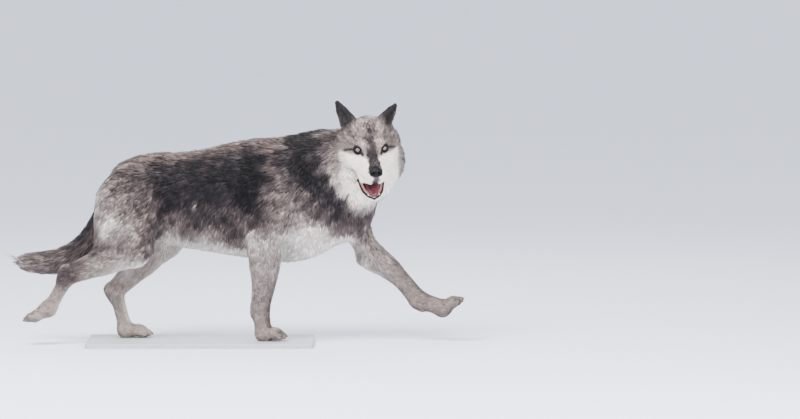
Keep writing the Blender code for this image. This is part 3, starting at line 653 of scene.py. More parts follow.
def zone_face(p):
    q = to_head(p)
    face = (q[:, 0] > -0.012) & (np.abs(q[:, 1]) < 0.075) & (q[:, 2] > -0.21) & (q[:, 2] < 0.035)
    return face | ((both_ears_distance(q) < 0.008) & (q[:, 2] > 0.085))


def zone_eyes(p):
    return eye_parts(folded(to_head(p)))[0] < 0.021


# ---------------------------------------------------------------- meshes
def linked(name, data):
    obj = bpy.data.objects.new(name, data)
    bpy.context.scene.collection.objects.link(obj)
    return obj


def starts_of(sizes):
    """Where each face's corners start, from the faces' numbers of corners."""
    return np.concatenate([[0], np.cumsum(sizes)[:-1]])


def raw_mesh(name, verts, loops, starts):
    """An object from an array of points and its faces' corners."""
    mesh = bpy.data.meshes.new(name)
    mesh.vertices.add(len(verts))
    mesh.loops.add(len(loops))
    mesh.polygons.add(len(starts))
    mesh.vertices.foreach_set("co", np.asarray(verts, np.float32).ravel())
    mesh.polygons.foreach_set("loop_start", np.asarray(starts, np.int32))
    mesh.polygons.foreach_set("vertices", np.asarray(loops, np.int32))
    mesh.update(calc_edges=True)
    return linked(name, mesh)


def mesh_object(name, verts, loops, starts, finish, smooth=True):
    """The same moved to the frame of the model, with its material."""
    obj = raw_mesh(name, verts + SHIFT, loops, starts)
    obj.data.polygons.foreach_set("use_smooth", np.full(len(starts), smooth))
    obj.data.materials.append(finish)
    return obj


def put_attribute(obj, name, values):
    """A number or a colour at each point of an object."""
    values = np.asarray(values, float)
    kind, key = "FLOAT", "value"
    if values.ndim == 2:
        values = np.column_stack([values, np.ones(len(values))])
        kind, key = "FLOAT_COLOR", "color"
    layer = obj.data.attributes.new(name, kind, "POINT")
    layer.data.foreach_set(key, values.astype(np.float32).ravel())


def arrays_of(bm):
    """Points, vertex normals, corners, face starts and face sizes of a bmesh."""
    bm.normal_update()
    bm.verts.index_update()
    verts = np.array([v.co[:] for v in bm.verts])
    normals = np.array([v.normal[:] for v in bm.verts])
    loops = np.array([v.index for f in bm.faces for v in f.verts])
    sizes = np.array([len(f.verts) for f in bm.faces])
    return verts, normals, loops, starts_of(sizes), sizes


# ---------------------------------------------------------------- markings
TONES = (0.0, 0.25, 0.5, 0.75, 1.0)
TONE_COLOURS = ((10, 8, 10), (37, 32, 34), (89, 78, 76), (153, 141, 133), (255, 245, 233))
LIP_COLOUR, MOUTH_COLOUR, RIM_COLOUR = (11, 9, 10), (104, 42, 50), (158, 104, 102)
WARMTH = np.array([0.03, -0.015, -0.06])   # added to the share of red, green and blue in the middle tones
# Marks seen from the side, and painted shade: how much lighter, how far they fall off, and where. One place makes
# an oval patch with two radii, and more make a bent stroke.
BODY_MARKS_AND_SHADE = (
    (-0.30, (0.26, 0.095), (-0.02, 0.605)),   # saddle
    (-0.30, 0.046, (0.160, 0.700), (0.138, 0.600), (0.130, 0.560)),   # band behind the shoulder
    (-0.12, 0.036, (0.130, 0.560), (0.120, 0.510)),
    (-0.18, (0.040, 0.030), (0.075, 0.680)),
    (0.20, (0.090, 0.105), (0.270, 0.520)),   # shoulder
    (0.15, (0.030, 0.060), (0.205, 0.640)),
    (0.10, (0.025, 0.030), (0.262, 0.600)),
    (0.17, (0.030, 0.030), (0.262, 0.740)),
    (-0.08, (0.030, 0.045), (0.262, 0.450)),
    (-0.28, 0.048, (0.325, 0.775), (0.340, 0.700), (0.360, 0.640)),   # mane
    (-0.20, 0.032, (0.375, 0.800), (0.392, 0.730)),
    (-0.12, (0.060, 0.050), (0.300, 0.690)),
    (-0.12, 0.050, (0.360, 0.640), (0.410, 0.570), (0.470, 0.520)),   # collar
    (-0.06, 0.030, (0.470, 0.520), (0.560, 0.505)),
    (0.12, (0.055, 0.060), (0.440, 0.700)),
    (0.15, (0.040, 0.030), (0.400, 0.487)),   # breast and flank
    (0.07, (0.040, 0.050), (0.215, 0.465)),
    (0.09, (0.070, 0.035), (0.110, 0.485)),
    (0.12, (0.045, 0.035), (-0.100, 0.445)),
    (0.06, (0.050, 0.040), (-0.215, 0.450)),
    (-0.12, (0.040, 0.050), (-0.245, 0.400)),
    # front edge of the thigh: partly darker coat, partly painted shade where the thigh meets the flank
    (-0.14, 0.020, (-0.165, 0.590), (-0.190, 0.500), (-0.215, 0.420)),
    (0.15, (0.100, 0.130), (-0.350, 0.500)),   # haunch and thigh
    (0.21, (0.115, 0.080), (-0.335, 0.405)),
    (0.30, 0.030, (-0.410, 0.610), (-0.445, 0.500), (-0.400, 0.420)),
    (0.14, (0.035, 0.070), (-0.475, 0.400)),
)


def hock_mark(name, amount):
    x, _, z = LEGS[name][2]
    return amount, 0.04, (x + 0.03, z + 0.05), (x, z)


# Marks of the legs, and on the near hind leg a painted shadow of the tail.
LEG_MARKS_AND_SHADOW = {
    "fore_right": ((0.10, (0.040, 0.070), (0.140, 0.310)),),
    "fore_left": (),
    # under the tail on the near thigh: painted shadow of the tail
    "hind_right": ((-0.20, 0.030, (-0.470, 0.335), (-0.530, 0.285), (-0.590, 0.240)),
                   hock_mark("hind_right", -0.24)),
    "hind_left": ((-0.12, (0.035, 0.050), (-0.285, 0.350)), (0.14, (0.035, 0.040), (-0.345, 0.245)),
                  hock_mark("hind_left", -0.04)),
}


def linear(rgb):
    c = np.asarray(rgb, float) / 255
    return np.where(c < 0.04045, c / 12.92, ((c + 0.055) / 1.055) ** 2.4)


def toned(tone):
    stops = linear(TONE_COLOURS)
    return np.column_stack([np.interp(np.clip(tone, 0, 1), TONES, stops[:, i]) for i in range(3)])


def blended(colour, other, share):
    """The colours with this share of another."""
    return colour * (1 - share[:, None]) + other * share[:, None]


def patch(x, z, place, radii):
    """1 in the middle of an oval, falling off softly to its edge."""
    return np.exp(-(((x - place[0]) / radii[0]) ** 2 + ((z - place[1]) / radii[1]) ** 2))


def stroke(x, z, places, radius):
    """1 on a bent line through places, falling off softly over radius."""
    p = np.column_stack([x, z])
    away = [lengths(off_line(p, np.asarray(a), np.asarray(b))[1]) for a, b in zip(places, places[1:])]
    return np.exp(-(np.min(away, 0) / radius) ** 2)


def marks(x, z, rows):
    total = 0 * x
    for amount, reach, *places in rows:
        total += amount * (stroke(x, z, places, reach) if len(places) > 1 else patch(x, z, places[0], reach))
    return total


def mottled(p, size, waves=14):
    """Smooth noise about 0, mostly within 1, with blotches about size across."""
    total = np.zeros(len(p))
    for k in range(waves):
        turn, rise = 2.399963 * k, 1 - (2 * k + 1) / waves   # golden angle: directions spread over a sphere
        flat = math.sqrt(1 - rise * rise)
        way = np.array([flat * math.cos(turn), flat * math.sin(turn), rise]) * (0.7 + 0.06 * k)
        total += np.sin(p @ way * (3.2 / size) + 1.7 * k * k)
    return total * math.sqrt(2 / waves)


def body_tone(p, normal):
    """Tone of the trunk, neck, breast and haunches: the two sides are alike."""
    blotch = mottled(p * (0.6, 1, 1), 0.045)
    x, z, up = p[:, 0] + 0.014 * blotch, p[:, 2] + 0.010 * mottled(p, 0.060), normal[:, 2]
    tone = 0.40 + marks(x, z, BODY_MARKS_AND_SHADE)
    tone += 0.16 * ramp(up, 0.55, 0.95) * ramp(0.28 - x, 0, 0.08)   # grey ticks of the back
    tone += 0.14 * ramp(x, 0.500, 0.590) * ramp(0.48 - z, 0, 0.08)   # front of the breast
    white = 0.418 + 0.050 * np.exp(-((x - 0.36) / 0.075) ** 2) - 0.055 * np.exp(-((x - 0.075) / 0.040) ** 2)
    white -= 0.09 * ramp(-x, 0.160, 0.260) + 0.03 * ramp(x, 0.480, 0.560)   # top of the pale underside
    paler = 0.40 + 0.12 * ramp(x, 0.28, 0.34) - 0.28 * ramp(x, 0.49, 0.56)
    tone += paler * ramp(white - z, -0.040, 0.040) + 0.18 * ramp(-up, 0.3, 0.9)
    return tone + (0.030 * blotch + 0.045 * mottled(p * (0.5, 1, 1), 0.016)) * ramp(0.95 - tone, 0, 0.3)


def leg_tone(name, p, normal):
    ahead, inner = normal[:, 0], normal[:, 1] * (1 if name.endswith("right") else -1)
    down = 1 - leg_share(name, p)
    tone = marks(p[:, 0], p[:, 2], LEG_MARKS_AND_SHADOW[name]) + 0.06 * ramp(inner, 0.2, 0.9)
    # painted shade on the far foreleg: darker all over, most on the front of its upper part
    if name == "fore_left":
        tone -= 0.10 + 0.26 * ramp(ahead, 0.2, 0.8) * ramp(0.75 - down, 0, 0.5)
    if name in GIRTH:
        return tone + 0.58 + 0.06 * down - 0.14 * ramp(ahead, 0.1, 0.9)
    return tone + 0.52 + 0.14 * down + 0.14 * ramp(ahead, 0.2, 0.9)


def tail_tone(p, normal):
    along = ramp(-p[:, 0], 0.36, 0.74)
    shade = 0.10 * ramp(-normal[:, 2], 0.2, 0.9) - 0.22 * ramp(-normal[:, 0] + normal[:, 2], 0.2, 1.0)
    return 0.34 + 0.20 * along + shade * (1 - along) + 0.25 * ramp(-p[:, 0], 0.70, 0.80)


def head_tone(q):
    """Tone of the upper head and the ruff from the place in the head's frame."""
    f, side, u = q[:, 0], q[:, 1], q[:, 2]
    off = np.abs(side)
    tone = 0.66 - 0.045 * ramp(u, -0.01, 0.02) + 0.06 * ramp(u, 0.05, 0.09)
    tone -= 0.09 * patch(off, u, (0.085, 0.030), (0.040, 0.045))   # temple
    tone -= 0.42 * patch(off, u, (0.084, 0.084), (0.016, 0.022)) * ramp(-f, 0.02, 0.05)   # foot of the ear
    tone -= 0.26 * ramp(off, 0.096, 0.120) * ramp(u, -0.04, 0.02) * ramp(-f, 0.05, 0.09)
    tone += 0.18 * patch(off, u, (0.032, 0.026), (0.020, 0.018)) * ramp(f, -0.04, 0.0)   # brow
    tone += 0.44 * ramp(-u, 0.008, 0.030) * ramp(0.122 - off, 0, 0.02)   # cheek and muzzle side
    tone += 0.30 * ramp(-u, 0.10, 0.15) * ramp(0.110 - off, 0, 0.03)
    tone -= 0.20 * ramp(side, 0.122, 0.146) * ramp(-u, -0.02, 0.05)   # far edge of the ruff
    tone -= 0.14 * ramp(off, 0.138, 0.156) * ramp(-f, 0.06, 0.10) + 0.16 * ramp(-f, 0.140, 0.185)
    tone -= 0.38 * ramp(off, 0.040, 0.080) * ramp(-f, 0.115, 0.150) * ramp(u, -0.15, -0.07)   # behind the ruff
    fine, coarse = mottled(q, 0.0055), mottled(q * (0.6, 1, 1), 0.016)
    high = ramp(u, 0.012, 0.035) * ramp(f, -0.12, -0.06)
    tone += high * (0.050 * coarse + 0.065 * fine)   # ticked forehead
    soft = off + 0.0022 * fine + 0.0020 * coarse
    spot = patch(soft, u + 0.003 * fine, (0.0, 0.066), (0.0175, 0.025)) * ramp(f, -0.08, -0.04)
    line = np.exp(-(soft / 0.0165) ** 2) * ramp(0.062 - u, 0, 0.02) * ramp(u, -0.035, 0.0)
    line *= ramp(f, -0.045, -0.01)
    half = np.interp(f, [0.0, 0.05, 0.105], [0.0180, 0.0225, 0.0265])
    bridge = ramp(half + 0.005 - soft, 0, 0.012) * ramp(f, -0.005, 0.040) * ramp(u, -0.066, -0.052)
    below = 0.75 * ramp(0.017 - soft, 0, 0.008) * ramp(f, 0.095, 0.108) * ramp(-u, 0.060, 0.068)
    bridge = (0.84 + 0.07 * fine) * np.maximum(bridge, below)
    dark = np.max([0.78 * spot, 0.70 * line, bridge], 0)
    tone = tone * (1 - dark) + (0.13 + 0.03 * coarse) * dark
    r, along, up, out = eye_parts(folded(q))
    tear = stroke(along, up, ((-0.010, -0.002), (-0.022, -0.010)), 0.0054) * (out > 0)
    tail = stroke(along, up, ((0.012, -0.001), (0.030, -0.007), (0.054, -0.022)), 0.0040) * ramp(out, -0.07, -0.04)
    dark = np.max([ramp(0.0222 - r, 0, 0.0046), 0.95 * tear, 0.72 * tail], 0)
    return tone * (1 - dark) + 0.05 * dark


def coat_tone(p, q, normal, w):
    """Tone at p, which is q in the head's frame, from the shares w of the regions."""
    body = body_tone(p, normal)
    around = np.hypot(q[:, 1], q[:, 2] + 0.09) + 0.012 * mottled(p, 0.03)
    pale = ramp(0.125 - q[:, 1], 0, 0.03) * ramp(0.173 - around, 0, 0.040)
    pale *= ramp(q[:, 0], -0.24, -0.15) * ramp(-0.055 - q[:, 2], 0, 0.06)   # white of the ruff
    body += pale * (0.82 - body)
    tone = (w["trunk"] + w["neck"]) * body + w["tail"] * tail_tone(p, normal)
    for name in LEGS:
        high = leg_share(name, p)
        tone += w[name] * (high * body + (1 - high) * leg_tone(name, p, normal))
    ear_foot = patch(np.abs(q[:, 1]), q[:, 2], (0.113, 0.082), (0.012, 0.020))
    ears = 0.13 + 0.5 * ear_foot + 0.10 * ramp(-q[:, 0], 0.105, 0.125)
    return tone + w["head"] * head_tone(q) + w["jaw"] * 0.93 + w["ears"] * ears


def markings(p, normal, near, root=None):
    """Colour of the coat and skin, with painted shade deep in the mouth, how wet the skin is, and the tone, at
    points with these normals.

    A tuft is coloured for the place p where it shows, and near and root tell where it grows."""
    w = dict(zip(REGIONS, shares(near)))
    q = to_head(p)
    tone = coat_tone(p, q, normal, w)
    warm = w["trunk"] + 0.7 * (w["hind_right"] + w["hind_left"]) + 0.4 * (w["fore_right"] + w["fore_left"])
    warm *= np.exp(-((tone - 0.5) / 0.25) ** 2)
    colour = toned(tone) * (1 + WARMTH * warm[:, None])
    inside, lip, pink = mouth_masks(q if root is None else to_head(root), normal, near)
    colour = blended(colour, linear(LIP_COLOUR), lip)
    # inside of the mouth: the flesh colour with painted shade, darker towards the back of the mouth
    flesh = linear(MOUTH_COLOUR) * (0.25 + 0.75 * ramp(q[:, 0], 0.0, 0.07))[:, None]
    flesh = blended(flesh, linear(RIM_COLOUR), pink)
    return blended(colour, flesh, inside), np.maximum(inside, lip), tone


def mouth_masks(q, normal, near):
    """1 inside the mouth, 1 on the black lips, and 1 on the pale pink rim inside the lower one."""
    turned = normal @ HEAD_AXES
    close = (q[:, 0] > -0.03) & (np.abs(q[:, 1]) < 0.070) & (q[:, 2] < -0.06) & (q[:, 2] > -0.21)
    inward = -turned[:, 1] * np.sign(q[:, 1])
    q = folded(q)
    lower, upper = lip_distance(q, LOWER_LIP), lip_distance(q, UPPER_LIP)
    up = turned[:, 2] * math.cos(JAW_OPEN) + turned[:, 0] * math.sin(JAW_OPEN)
    roof = ramp(0.0045 - MOUTH.distance(q), 0, 0.002) * (near["head"] < near["jaw"])
    roof *= ramp(np.maximum(-turned[:, 2], inward), 0.10, 0.35)
    roof *= ramp(0.001 - beyond_lip(q, UPPER_LIP), 0, 0.002)
    floor = ramp(np.maximum(up, inward), 0.05, 0.25) * ramp(shut(q)[:, 2], -0.112, -0.104)
    floor *= ramp(0.001 - beyond_lip(q, LOWER_LIP), 0, 0.002)
    inside = np.maximum(roof, floor * (near["jaw"] <= near["head"])) * close
    rim = inside * ramp(lower, 0.0022, 0.0042)
    corner = near_corner(q)
    lip = ramp(0.0036 + 0.0026 * corner - lower, 0, 0.0015) * (1 - rim)
    lip = np.maximum(lip, ramp(0.0040 + 0.0014 * corner - upper, 0, 0.0015)) * close
    return inside * (1 - lip), lip, rim * ramp(0.011 - lower, 0, 0.002)


# ---------------------------------------------------------------- the lie of the coat
NOSE_END, CHIN_END = np.array([0.115, 0.0, -0.045]), np.array([0.090, 0.0, -0.150])   # where the hair starts
TAIL_PATH = [place for place, *_ in TAIL[:7] + TAIL[8:]]


def along_path(p, places):
    """Direction of a path through places, as felt at p."""
    total = np.zeros((len(p), 3))
    for a, b in zip(places, places[1:]):
        a, b = np.asarray(a, float), np.asarray(b, float)
        total += np.exp(-lengths(off_line(p, a, b)[1]) / 0.015)[:, None] * unit(b - a)
    return unit_rows(total)


def unit_rows(v):
    return v / (lengths(v)[:, None] + 1e-9)


def slanted(degrees):
    """Backwards and down, at this many degrees below the level."""
    a = np.radians(degrees)
    return np.column_stack([-np.cos(a), 0 * a, -np.sin(a)])


def body_flow(p):
    x, z = p[:, 0], p[:, 2]
    angle = 12 + 62 * ramp(0.71 - z, 0, 0.26)
    angle = np.where(x < -0.18, 14 + 34 * ramp(0.70 - z, 0, 0.2), angle)
    return slanted(angle + (86 - angle) * ramp(x, 0.36, 0.46) * ramp(0.66 - z, 0, 0.10))


def head_flow(q):
    """Away from the nose, round the eyes and down in the ruff."""
    flow = q - NOSE_END
    flow /= lengths(flow)[:, None]
    from_eye = folded(q) - EYE_PLACE
    away = lengths(from_eye)
    from_eye = unit_rows(from_eye)
    from_eye[:, 1] *= np.sign(q[:, 1] + 1e-9)
    flow += from_eye * (1.6 * np.exp(-((away - 0.012) / 0.012) ** 2))[:, None]
    flow[:, 2] -= 0.55 * head_length(q) * ramp(0.03 - q[:, 2], 0, 0.08)
    return flow


def leg_flow(name, p):
    ahead, _, length, _ = paw(name)
    flow = along_path(p, [*LEGS[name], LEGS[name][3] + length * ahead])
    high = ramp(leg_share(name, p), 0.75, 1.0)[:, None]
    return flow * (1 - high) + body_flow(p) * high


def ear_flow(q):
    left, right = (ear_frame(tip)[0] for tip in (LEFT_EAR_TIP, RIGHT_EAR_TIP))
    return np.where(q[:, 1:2] > 0, left, right * MIRROR)


def region_lie(name, p, q, normal):
    """Direction, length, width, lift in degrees, and spacing of the tufts of a region; q is p in the head."""
    if name == "trunk":
        return body_flow(p), 0.050, 0.0040, 14, 0.0048
    if name == "neck":
        return slanted(28 + 42 * ramp(0.85 - normal[:, 2], 0, 0.6)), 0.068, 0.0042, 19, 0.0047
    if name == "tail":
        return along_path(p, TAIL_PATH), 0.080, 0.0036, 15, 0.0044
    if name in LEGS:
        share = leg_share(name, p)
        return (leg_flow(name, p), 0.0085 + 0.036 * share, 0.0017 + 0.0022 * share, 9 + 5 * share,
                0.0031 + 0.0017 * share)
    if name == "ears":
        tip = np.where(q[:, 1:2] > 0, LEFT_EAR_TIP, RIGHT_EAR_TIP * MIRROR)
        near_tip = ramp(0.026 - lengths(q - tip), 0, 0.018)
        return ear_flow(q) @ HEAD_AXES.T, 0.010 - 0.005 * near_tip, 0.0015, 9, 0.0026 - 0.0006 * near_tip
    if name == "jaw":
        back = ramp(0.06 - q[:, 0], 0, 0.07)
        return ((q - CHIN_END) @ HEAD_AXES.T, 0.009 + 0.016 * back, 0.0014 + 0.0010 * back, 12,
                0.0026 + 0.0006 * back)
    long, tip = head_length(q), ramp(q[:, 0], 0.02, 0.09)
    return (head_flow(q) @ HEAD_AXES.T, 0.0100 + 0.044 * long - 0.0045 * tip, 0.0014 + 0.0018 * long,
            10 + 12 * long, 0.0025 + 0.0016 * long - 0.0003 * tip)


def lie_of_coat(p, normal, near):
    """Direction, length, width, lift in radians, and spacing of the tufts at points of the skin."""
    q = to_head(p)
    flow, rest = np.zeros((len(p), 3)), np.zeros((len(p), 4))
    for share, name in zip(shares(near), REGIONS):
        some = np.flatnonzero(share > 0.01)
        if len(some):
            part = share[some, None]
            way, *numbers = region_lie(name, p[some], q[some], normal[some])
            flow[some] += part * unit_rows(way)
            rest[some] += part * np.column_stack([number + np.zeros(len(some)) for number in numbers])
    flow = unit_rows(flow - normal * dots(flow, normal)[:, None])
    close = np.flatnonzero(lengths(q) < FACE_REACH)
    face = folded(q[close])
    corner, eyes = near_corner(face), lengths(face - EYE_PLACE)
    off_lips = ramp(lips_distance(face), 0.003 + 0.006 * corner, 0.024 + 0.010 * corner)
    short = 0.40 - 0.20 * corner + (0.60 + 0.20 * corner) * off_lips
    short *= 0.50 + 0.50 * ramp(eyes, 0.016, 0.036)
    for column, least in ((0, 0.0), (1, 0.5), (3, 0.65)):
        rest[close, column] *= least + (1 - least) * short
    length, width, lift, spacing = rest.T
    return flow, length, width, np.radians(lift), spacing


def bare(p, normal, near):
    """Where no tuft grows: eyes, nose, mouth, lips and pads."""
    q = to_head(p)
    inside, lip, _ = mouth_masks(q, normal, near)
    found = (lengths(folded(q) - EYE_PLACE) < BARE_EYE) | (inside + lip > 0.3)
    found |= Ball(NOSE_PLACE, NOSE_SIZE + 0.002).distance(q) < 0.001
    for centre, radii, axes in pads():
        found |= Ball(centre, np.array(radii) + 0.001, axes).distance(p) < 0
    return found | (p[:, 2] < BARE_SOLE)


# ---------------------------------------------------------------- tufts
THICKNESS = 1.33   # number of tufts to one square of the spacing
BARE_EYE = 0.0155   # how far round the middle of an eye nothing grows
BARE_SOLE = 0.0025   # height over the ground below which nothing grows
PATCH = 0.003   # size of a tuft on its bake map
MOST_TRIANGLES = 190000   # of one piece of coat
LONG_TUFT = 0.060   # pieces whose tufts are mostly longer have three rings to a tuft, the others two
LOCK = 12   # tufts to a lock
SUNK = 0.0012   # how deep the foot of a tuft stands in the skin


def skin_triangles(starts, sizes):
    """Corner numbers of the fan of triangles of every face, and the face of each."""
    corners, faces = [], []
    for size in np.unique(sizes):
        chosen = np.flatnonzero(sizes == size)
        for k in range(1, size - 1):
            corners.append(np.column_stack([starts[chosen], starts[chosen] + k, starts[chosen] + k + 1]))
            faces.append(chosen)
    corners, faces = np.vstack(corners), np.concatenate(faces)
    order = np.argsort(faces, kind="stable")
    return corners[order], faces[order]


def sown(verts, normals, ids):
    """Roots of the tufts: the triangle and the place in it, evenly spread at the spacing of the coat."""
    at = verts[ids]
    middle, normal = at.mean(1), normals[ids].mean(1)
    normal /= lengths(normal)[:, None]
    near = region_distances(middle)
    spacing = lie_of_coat(middle, normal, near)[4]
    area = lengths(np.cross(at[:, 1] - at[:, 0], at[:, 2] - at[:, 0])) / 2
    sums = np.cumsum(area / spacing**2 * ~bare(middle, normal, near) * THICKNESS)
    ticks = np.arange(0, sums[-1]) + rng.random(math.ceil(sums[-1]))
    chosen = np.searchsorted(sums, ticks[ticks < sums[-1]])
    a, b = rng.random(len(chosen)), rng.random(len(chosen))
    flip = a + b > 1
    a, b = np.where(flip, 1 - a, a), np.where(flip, 1 - b, b)
    return chosen, np.column_stack([1 - a - b, a, b])


def turned(v, axis, angle):
    """v turned about the unit vectors axis."""
    c, s = np.cos(angle)[:, None], np.sin(angle)[:, None]
    return v * c + np.cross(axis, v) * s + axis * dots(axis, v)[:, None] * (1 - c)


def laid(points, tree, height, limit):
    """Points moved to a height over the skin, unless they stand clear of it by more than limit."""
    out = points.copy()
    for i, (p, h, far) in enumerate(zip(points.tolist(), height, limit)):
        place, normal, _, away = tree.find_nearest(p)
        if (Vector(p) - place).dot(normal) < far and away < far * 1.5 + 0.002:
            out[i] = place + normal * float(h)
    return out


def over_lips(root, middle, tip):
    """Which tufts pass over the edge of a lip."""
    found = np.zeros(len(root), bool)
    close = np.flatnonzero(lengths(to_head(root) - (0.03, 0, -0.11)) < 0.13)
    for a, b, share in ((root, middle, 0.8), (middle, tip, 0.5), (middle, tip, 1.0)):
        q = folded(to_head(a[close] + share * (b[close] - a[close])))
        found[close] |= lips_distance(q) < 0.0034 + 0.0030 * near_corner(q)
    return found


def locks_of(root):
    """For each tuft, the tuft that leads its lock."""
    seeds = np.flatnonzero(rng.random(len(root)) < 1 / LOCK)
    finder = KDTree(len(seeds))
    for k, i in enumerate(seeds):
        finder.insert(root[i], k)
    finder.balance()
    return seeds[[finder.find(r)[1] for r in root.tolist()]]


def grown(verts, normals, ids, tree):
    """The tufts as centre lines, with everything that their mesh and colours need."""
    chosen, weights = sown(verts, normals, ids)
    root, normal = ((v[ids[chosen]] * weights[:, :, None]).sum(1) for v in (verts, normals))
    normal /= lengths(normal)[:, None]
    near = region_distances(root)
    flow, length, width, lift, _ = lie_of_coat(root, normal, near)
    deep, n = depth(root, near), len(root)
    length = length * rng.uniform(0.72, 1.18, n)
    width = width * rng.uniform(0.75, 1.25, n)
    flow = turned(flow, normal, rng.normal(0, 0.13, n))
    lift = lift * rng.uniform(0.7, 1.3, n)
    rise = normal * np.sin(lift)[:, None] + flow * np.cos(lift)[:, None]
    height, limit = deep * rng.uniform(0.75, 1.12, n), deep * 2.6 + 0.004
    middle = laid(root + rise * (0.45 * length)[:, None], tree, height * 0.62 + 0.0006, limit)
    tip = laid(root + rise * length[:, None], tree, height + 0.0004, limit)
    # neighbouring tufts lean together into locks
    lock = locks_of(root)
    pull = 0.55 * ramp(length, 0.012, 0.04)[:, None]
    tip += pull * (tip[lock] + 0.45 * (root - root[lock]) - tip)
    middle += 0.35 * pull * (middle[lock] + 0.7 * (root - root[lock]) - middle)
    tone_of_lock = rng.normal(0, 1, n)[lock]
    # a tuft that would hang over a lip is shorter, or is left out
    short = np.where(over_lips(root, middle, tip), 0.55, 1.0)[:, None]
    middle, tip = root + short * (middle - root), root + short * (tip - root)
    kept = np.flatnonzero(~over_lips(root, middle, tip))
    tufts = {"root": root, "middle": middle, "tip": tip, "normal": normal, "width": width, "length": length,
             "triangle": chosen, "weights": weights, "lock": tone_of_lock}
    return {**{key: value[kept] for key, value in tufts.items()},
            "near": {name: d[kept] for name, d in near.items()}}


def coloured(tufts):
    """Colour at the root, the middle and the tip of each tuft: the skin's markings, ticked hair by hair, with the
    roots darker, partly as underfur and partly as painted shade.
    """
    n = len(tufts["root"])
    shown = 0.4 * tufts["root"] + 0.6 * tufts["tip"]
    colour, _, tone = markings(shown, tufts["normal"], tufts["near"], tufts["root"])
    spread = np.interp(tone, [0, 0.3, 0.6, 0.95], [0.20, 0.36, 0.27, 0.06])
    colour = colour * np.exp(spread * (0.75 * rng.normal(0, 1, n) + 0.80 * tufts["lock"]))[:, None]
    banded = rng.random(n)
    tips = np.where(banded < 0.30, -0.45, np.where(banded > 0.72, 0.35, 0.0))
    tips *= np.interp(tone, [0, 0.15, 0.75, 1.0], [0.3, 1.0, 0.8, 0.15])
    # darker roots: partly the darker underfur, partly painted shade at the foot of the coat
    root = np.interp(tone, [0, 0.5, 0.9], [0.60, 0.62, 0.86])
    return colour * root[:, None], colour, colour * (1 + tips)[:, None]


def lines_of(tufts, chosen, colours):
    """Stations along a tuft, and the centres and colours of every tuft's line there and at its tip."""
    root, middle, tip = (tufts[k][chosen] for k in ("root", "middle", "tip"))
    # dark is the root colour, with its painted shade
    dark, mid, end = (c[chosen] for c in colours)
    stations = [0.0, 0.40, 0.75] if np.median(tufts["length"][chosen]) > LONG_TUFT else [0.0, 0.45]
    centres, tints = [root - tufts["normal"][chosen] * SUNK], [dark]
    bend = 2 * middle - 0.5 * (root + tip)
    for t in [*stations[1:], 1.0]:
        centres.append((1 - t) ** 2 * root + 2 * t * (1 - t) * bend + t**2 * tip)
        tints.append(mid * (1 - t) + end * t if t > 0.5 else dark * (1 - 2 * t) + mid * 2 * t)
    return stations, centres, tints


def spike(stations):
    """Faces of one closed three-sided spike, and their places on its patch of the bake map."""
    rings, heights = len(stations), [*stations, 1.0]
    faces, uvs = [(0, 1, 2)], [((0, -0.12), (1 / 3, -0.12), (1 / 6, -0.02))]
    for k in range(3):
        left, right, j = k / 3, (k + 1) / 3, (k + 1) % 3
        for r, low, high in zip(range(rings - 1), heights, heights[1:]):
            faces.append((3 * r + k, 3 * r + 3 + k, 3 * r + 3 + j, 3 * r + j))
            uvs.append(((left, low), (left, high), (right, high), (right, low)))
        faces.append((3 * rings - 3 + k, 3 * rings, 3 * rings - 3 + j))
        uvs.append(((left, stations[-1]), ((left + right) / 2, 1), (right, stations[-1])))
    return faces, np.concatenate([np.array(u, float) for u in uvs])


def tuft_object(name, tufts, chosen, colours, places, finish):
    """A piece of the coat: every tuft a closed three-sided spike."""
    stations, centres, tints = lines_of(tufts, chosen, colours)
    n, rings = len(chosen), len(stations)
    normal, width = tufts["normal"][chosen], tufts["width"][chosen]
    side = unit_rows(np.cross(centres[-1] - centres[0], normal))
    verts, tint = np.empty((2, n, rings * 3 + 1, 3))
    for r, shape in enumerate({2: (0.75, 1.0), 3: (0.70, 1.0, 0.72)}[rings]):
        up = unit_rows(np.cross(side, centres[r + 1] - centres[r]))
        half = (width * shape / 2)[:, None]
        for k, (across, over) in enumerate(((-1, -0.25), (1, -0.25), (0, 0.55))):
            verts[:, 3 * r + k] = centres[r] + across * side * half + over * up * half
            tint[:, 3 * r + k] = tints[r]
    verts[:, -1], tint[:, -1] = centres[-1], tints[-1]
    faces, patch_places = spike(stations)
    one = np.concatenate(faces)
    turn = np.arange(n)[:, None]
    loops = (turn * (rings * 3 + 1) + one).ravel()
    starts = (turn * len(one) + starts_of([len(f) for f in faces])).ravel()
    obj = mesh_object(name, verts.reshape(-1, 3), loops, starts, finish)
    put_attribute(obj, "marking", tint.reshape(-1, 3))
    uv = places[:, None] + (patch_places - (0.5, 0.45)) * PATCH
    layer = obj.data.uv_layers.new(name="OFBake", do_init=False)
    layer.data.foreach_set("uv", np.clip(uv, 0.0005, 0.9995).astype(np.float32).ravel())
    return obj


def unwrapped(verts, loops, starts, sizes, faces):
    """An unwrap of these faces of the skin: the place on it of each of their corners, by corner number."""
    corner = np.concatenate([np.arange(starts[f], starts[f] + sizes[f]) for f in faces])
    used, index = np.unique(loops[corner], return_inverse=True)
    obj = raw_mesh("unwrap", verts[used], index, starts_of(sizes[faces]))
    mesh = obj.data
    bpy.context.view_layer.objects.active = obj
    obj.select_set(True)
    bpy.ops.object.mode_set(mode="EDIT")
    bpy.ops.mesh.select_all(action="SELECT")
    bpy.ops.uv.smart_project(angle_limit=math.radians(70), island_margin=0.002)
    bpy.ops.object.mode_set(mode="OBJECT")
    uv = np.empty(2 * len(corner), np.float32)
    mesh.uv_layers.active.data.foreach_get("uv", uv)
    bpy.data.objects.remove(obj)
    bpy.data.meshes.remove(mesh)
    places = np.zeros((len(loops), 2))
    places[corner] = uv.reshape(-1, 2)
    return places


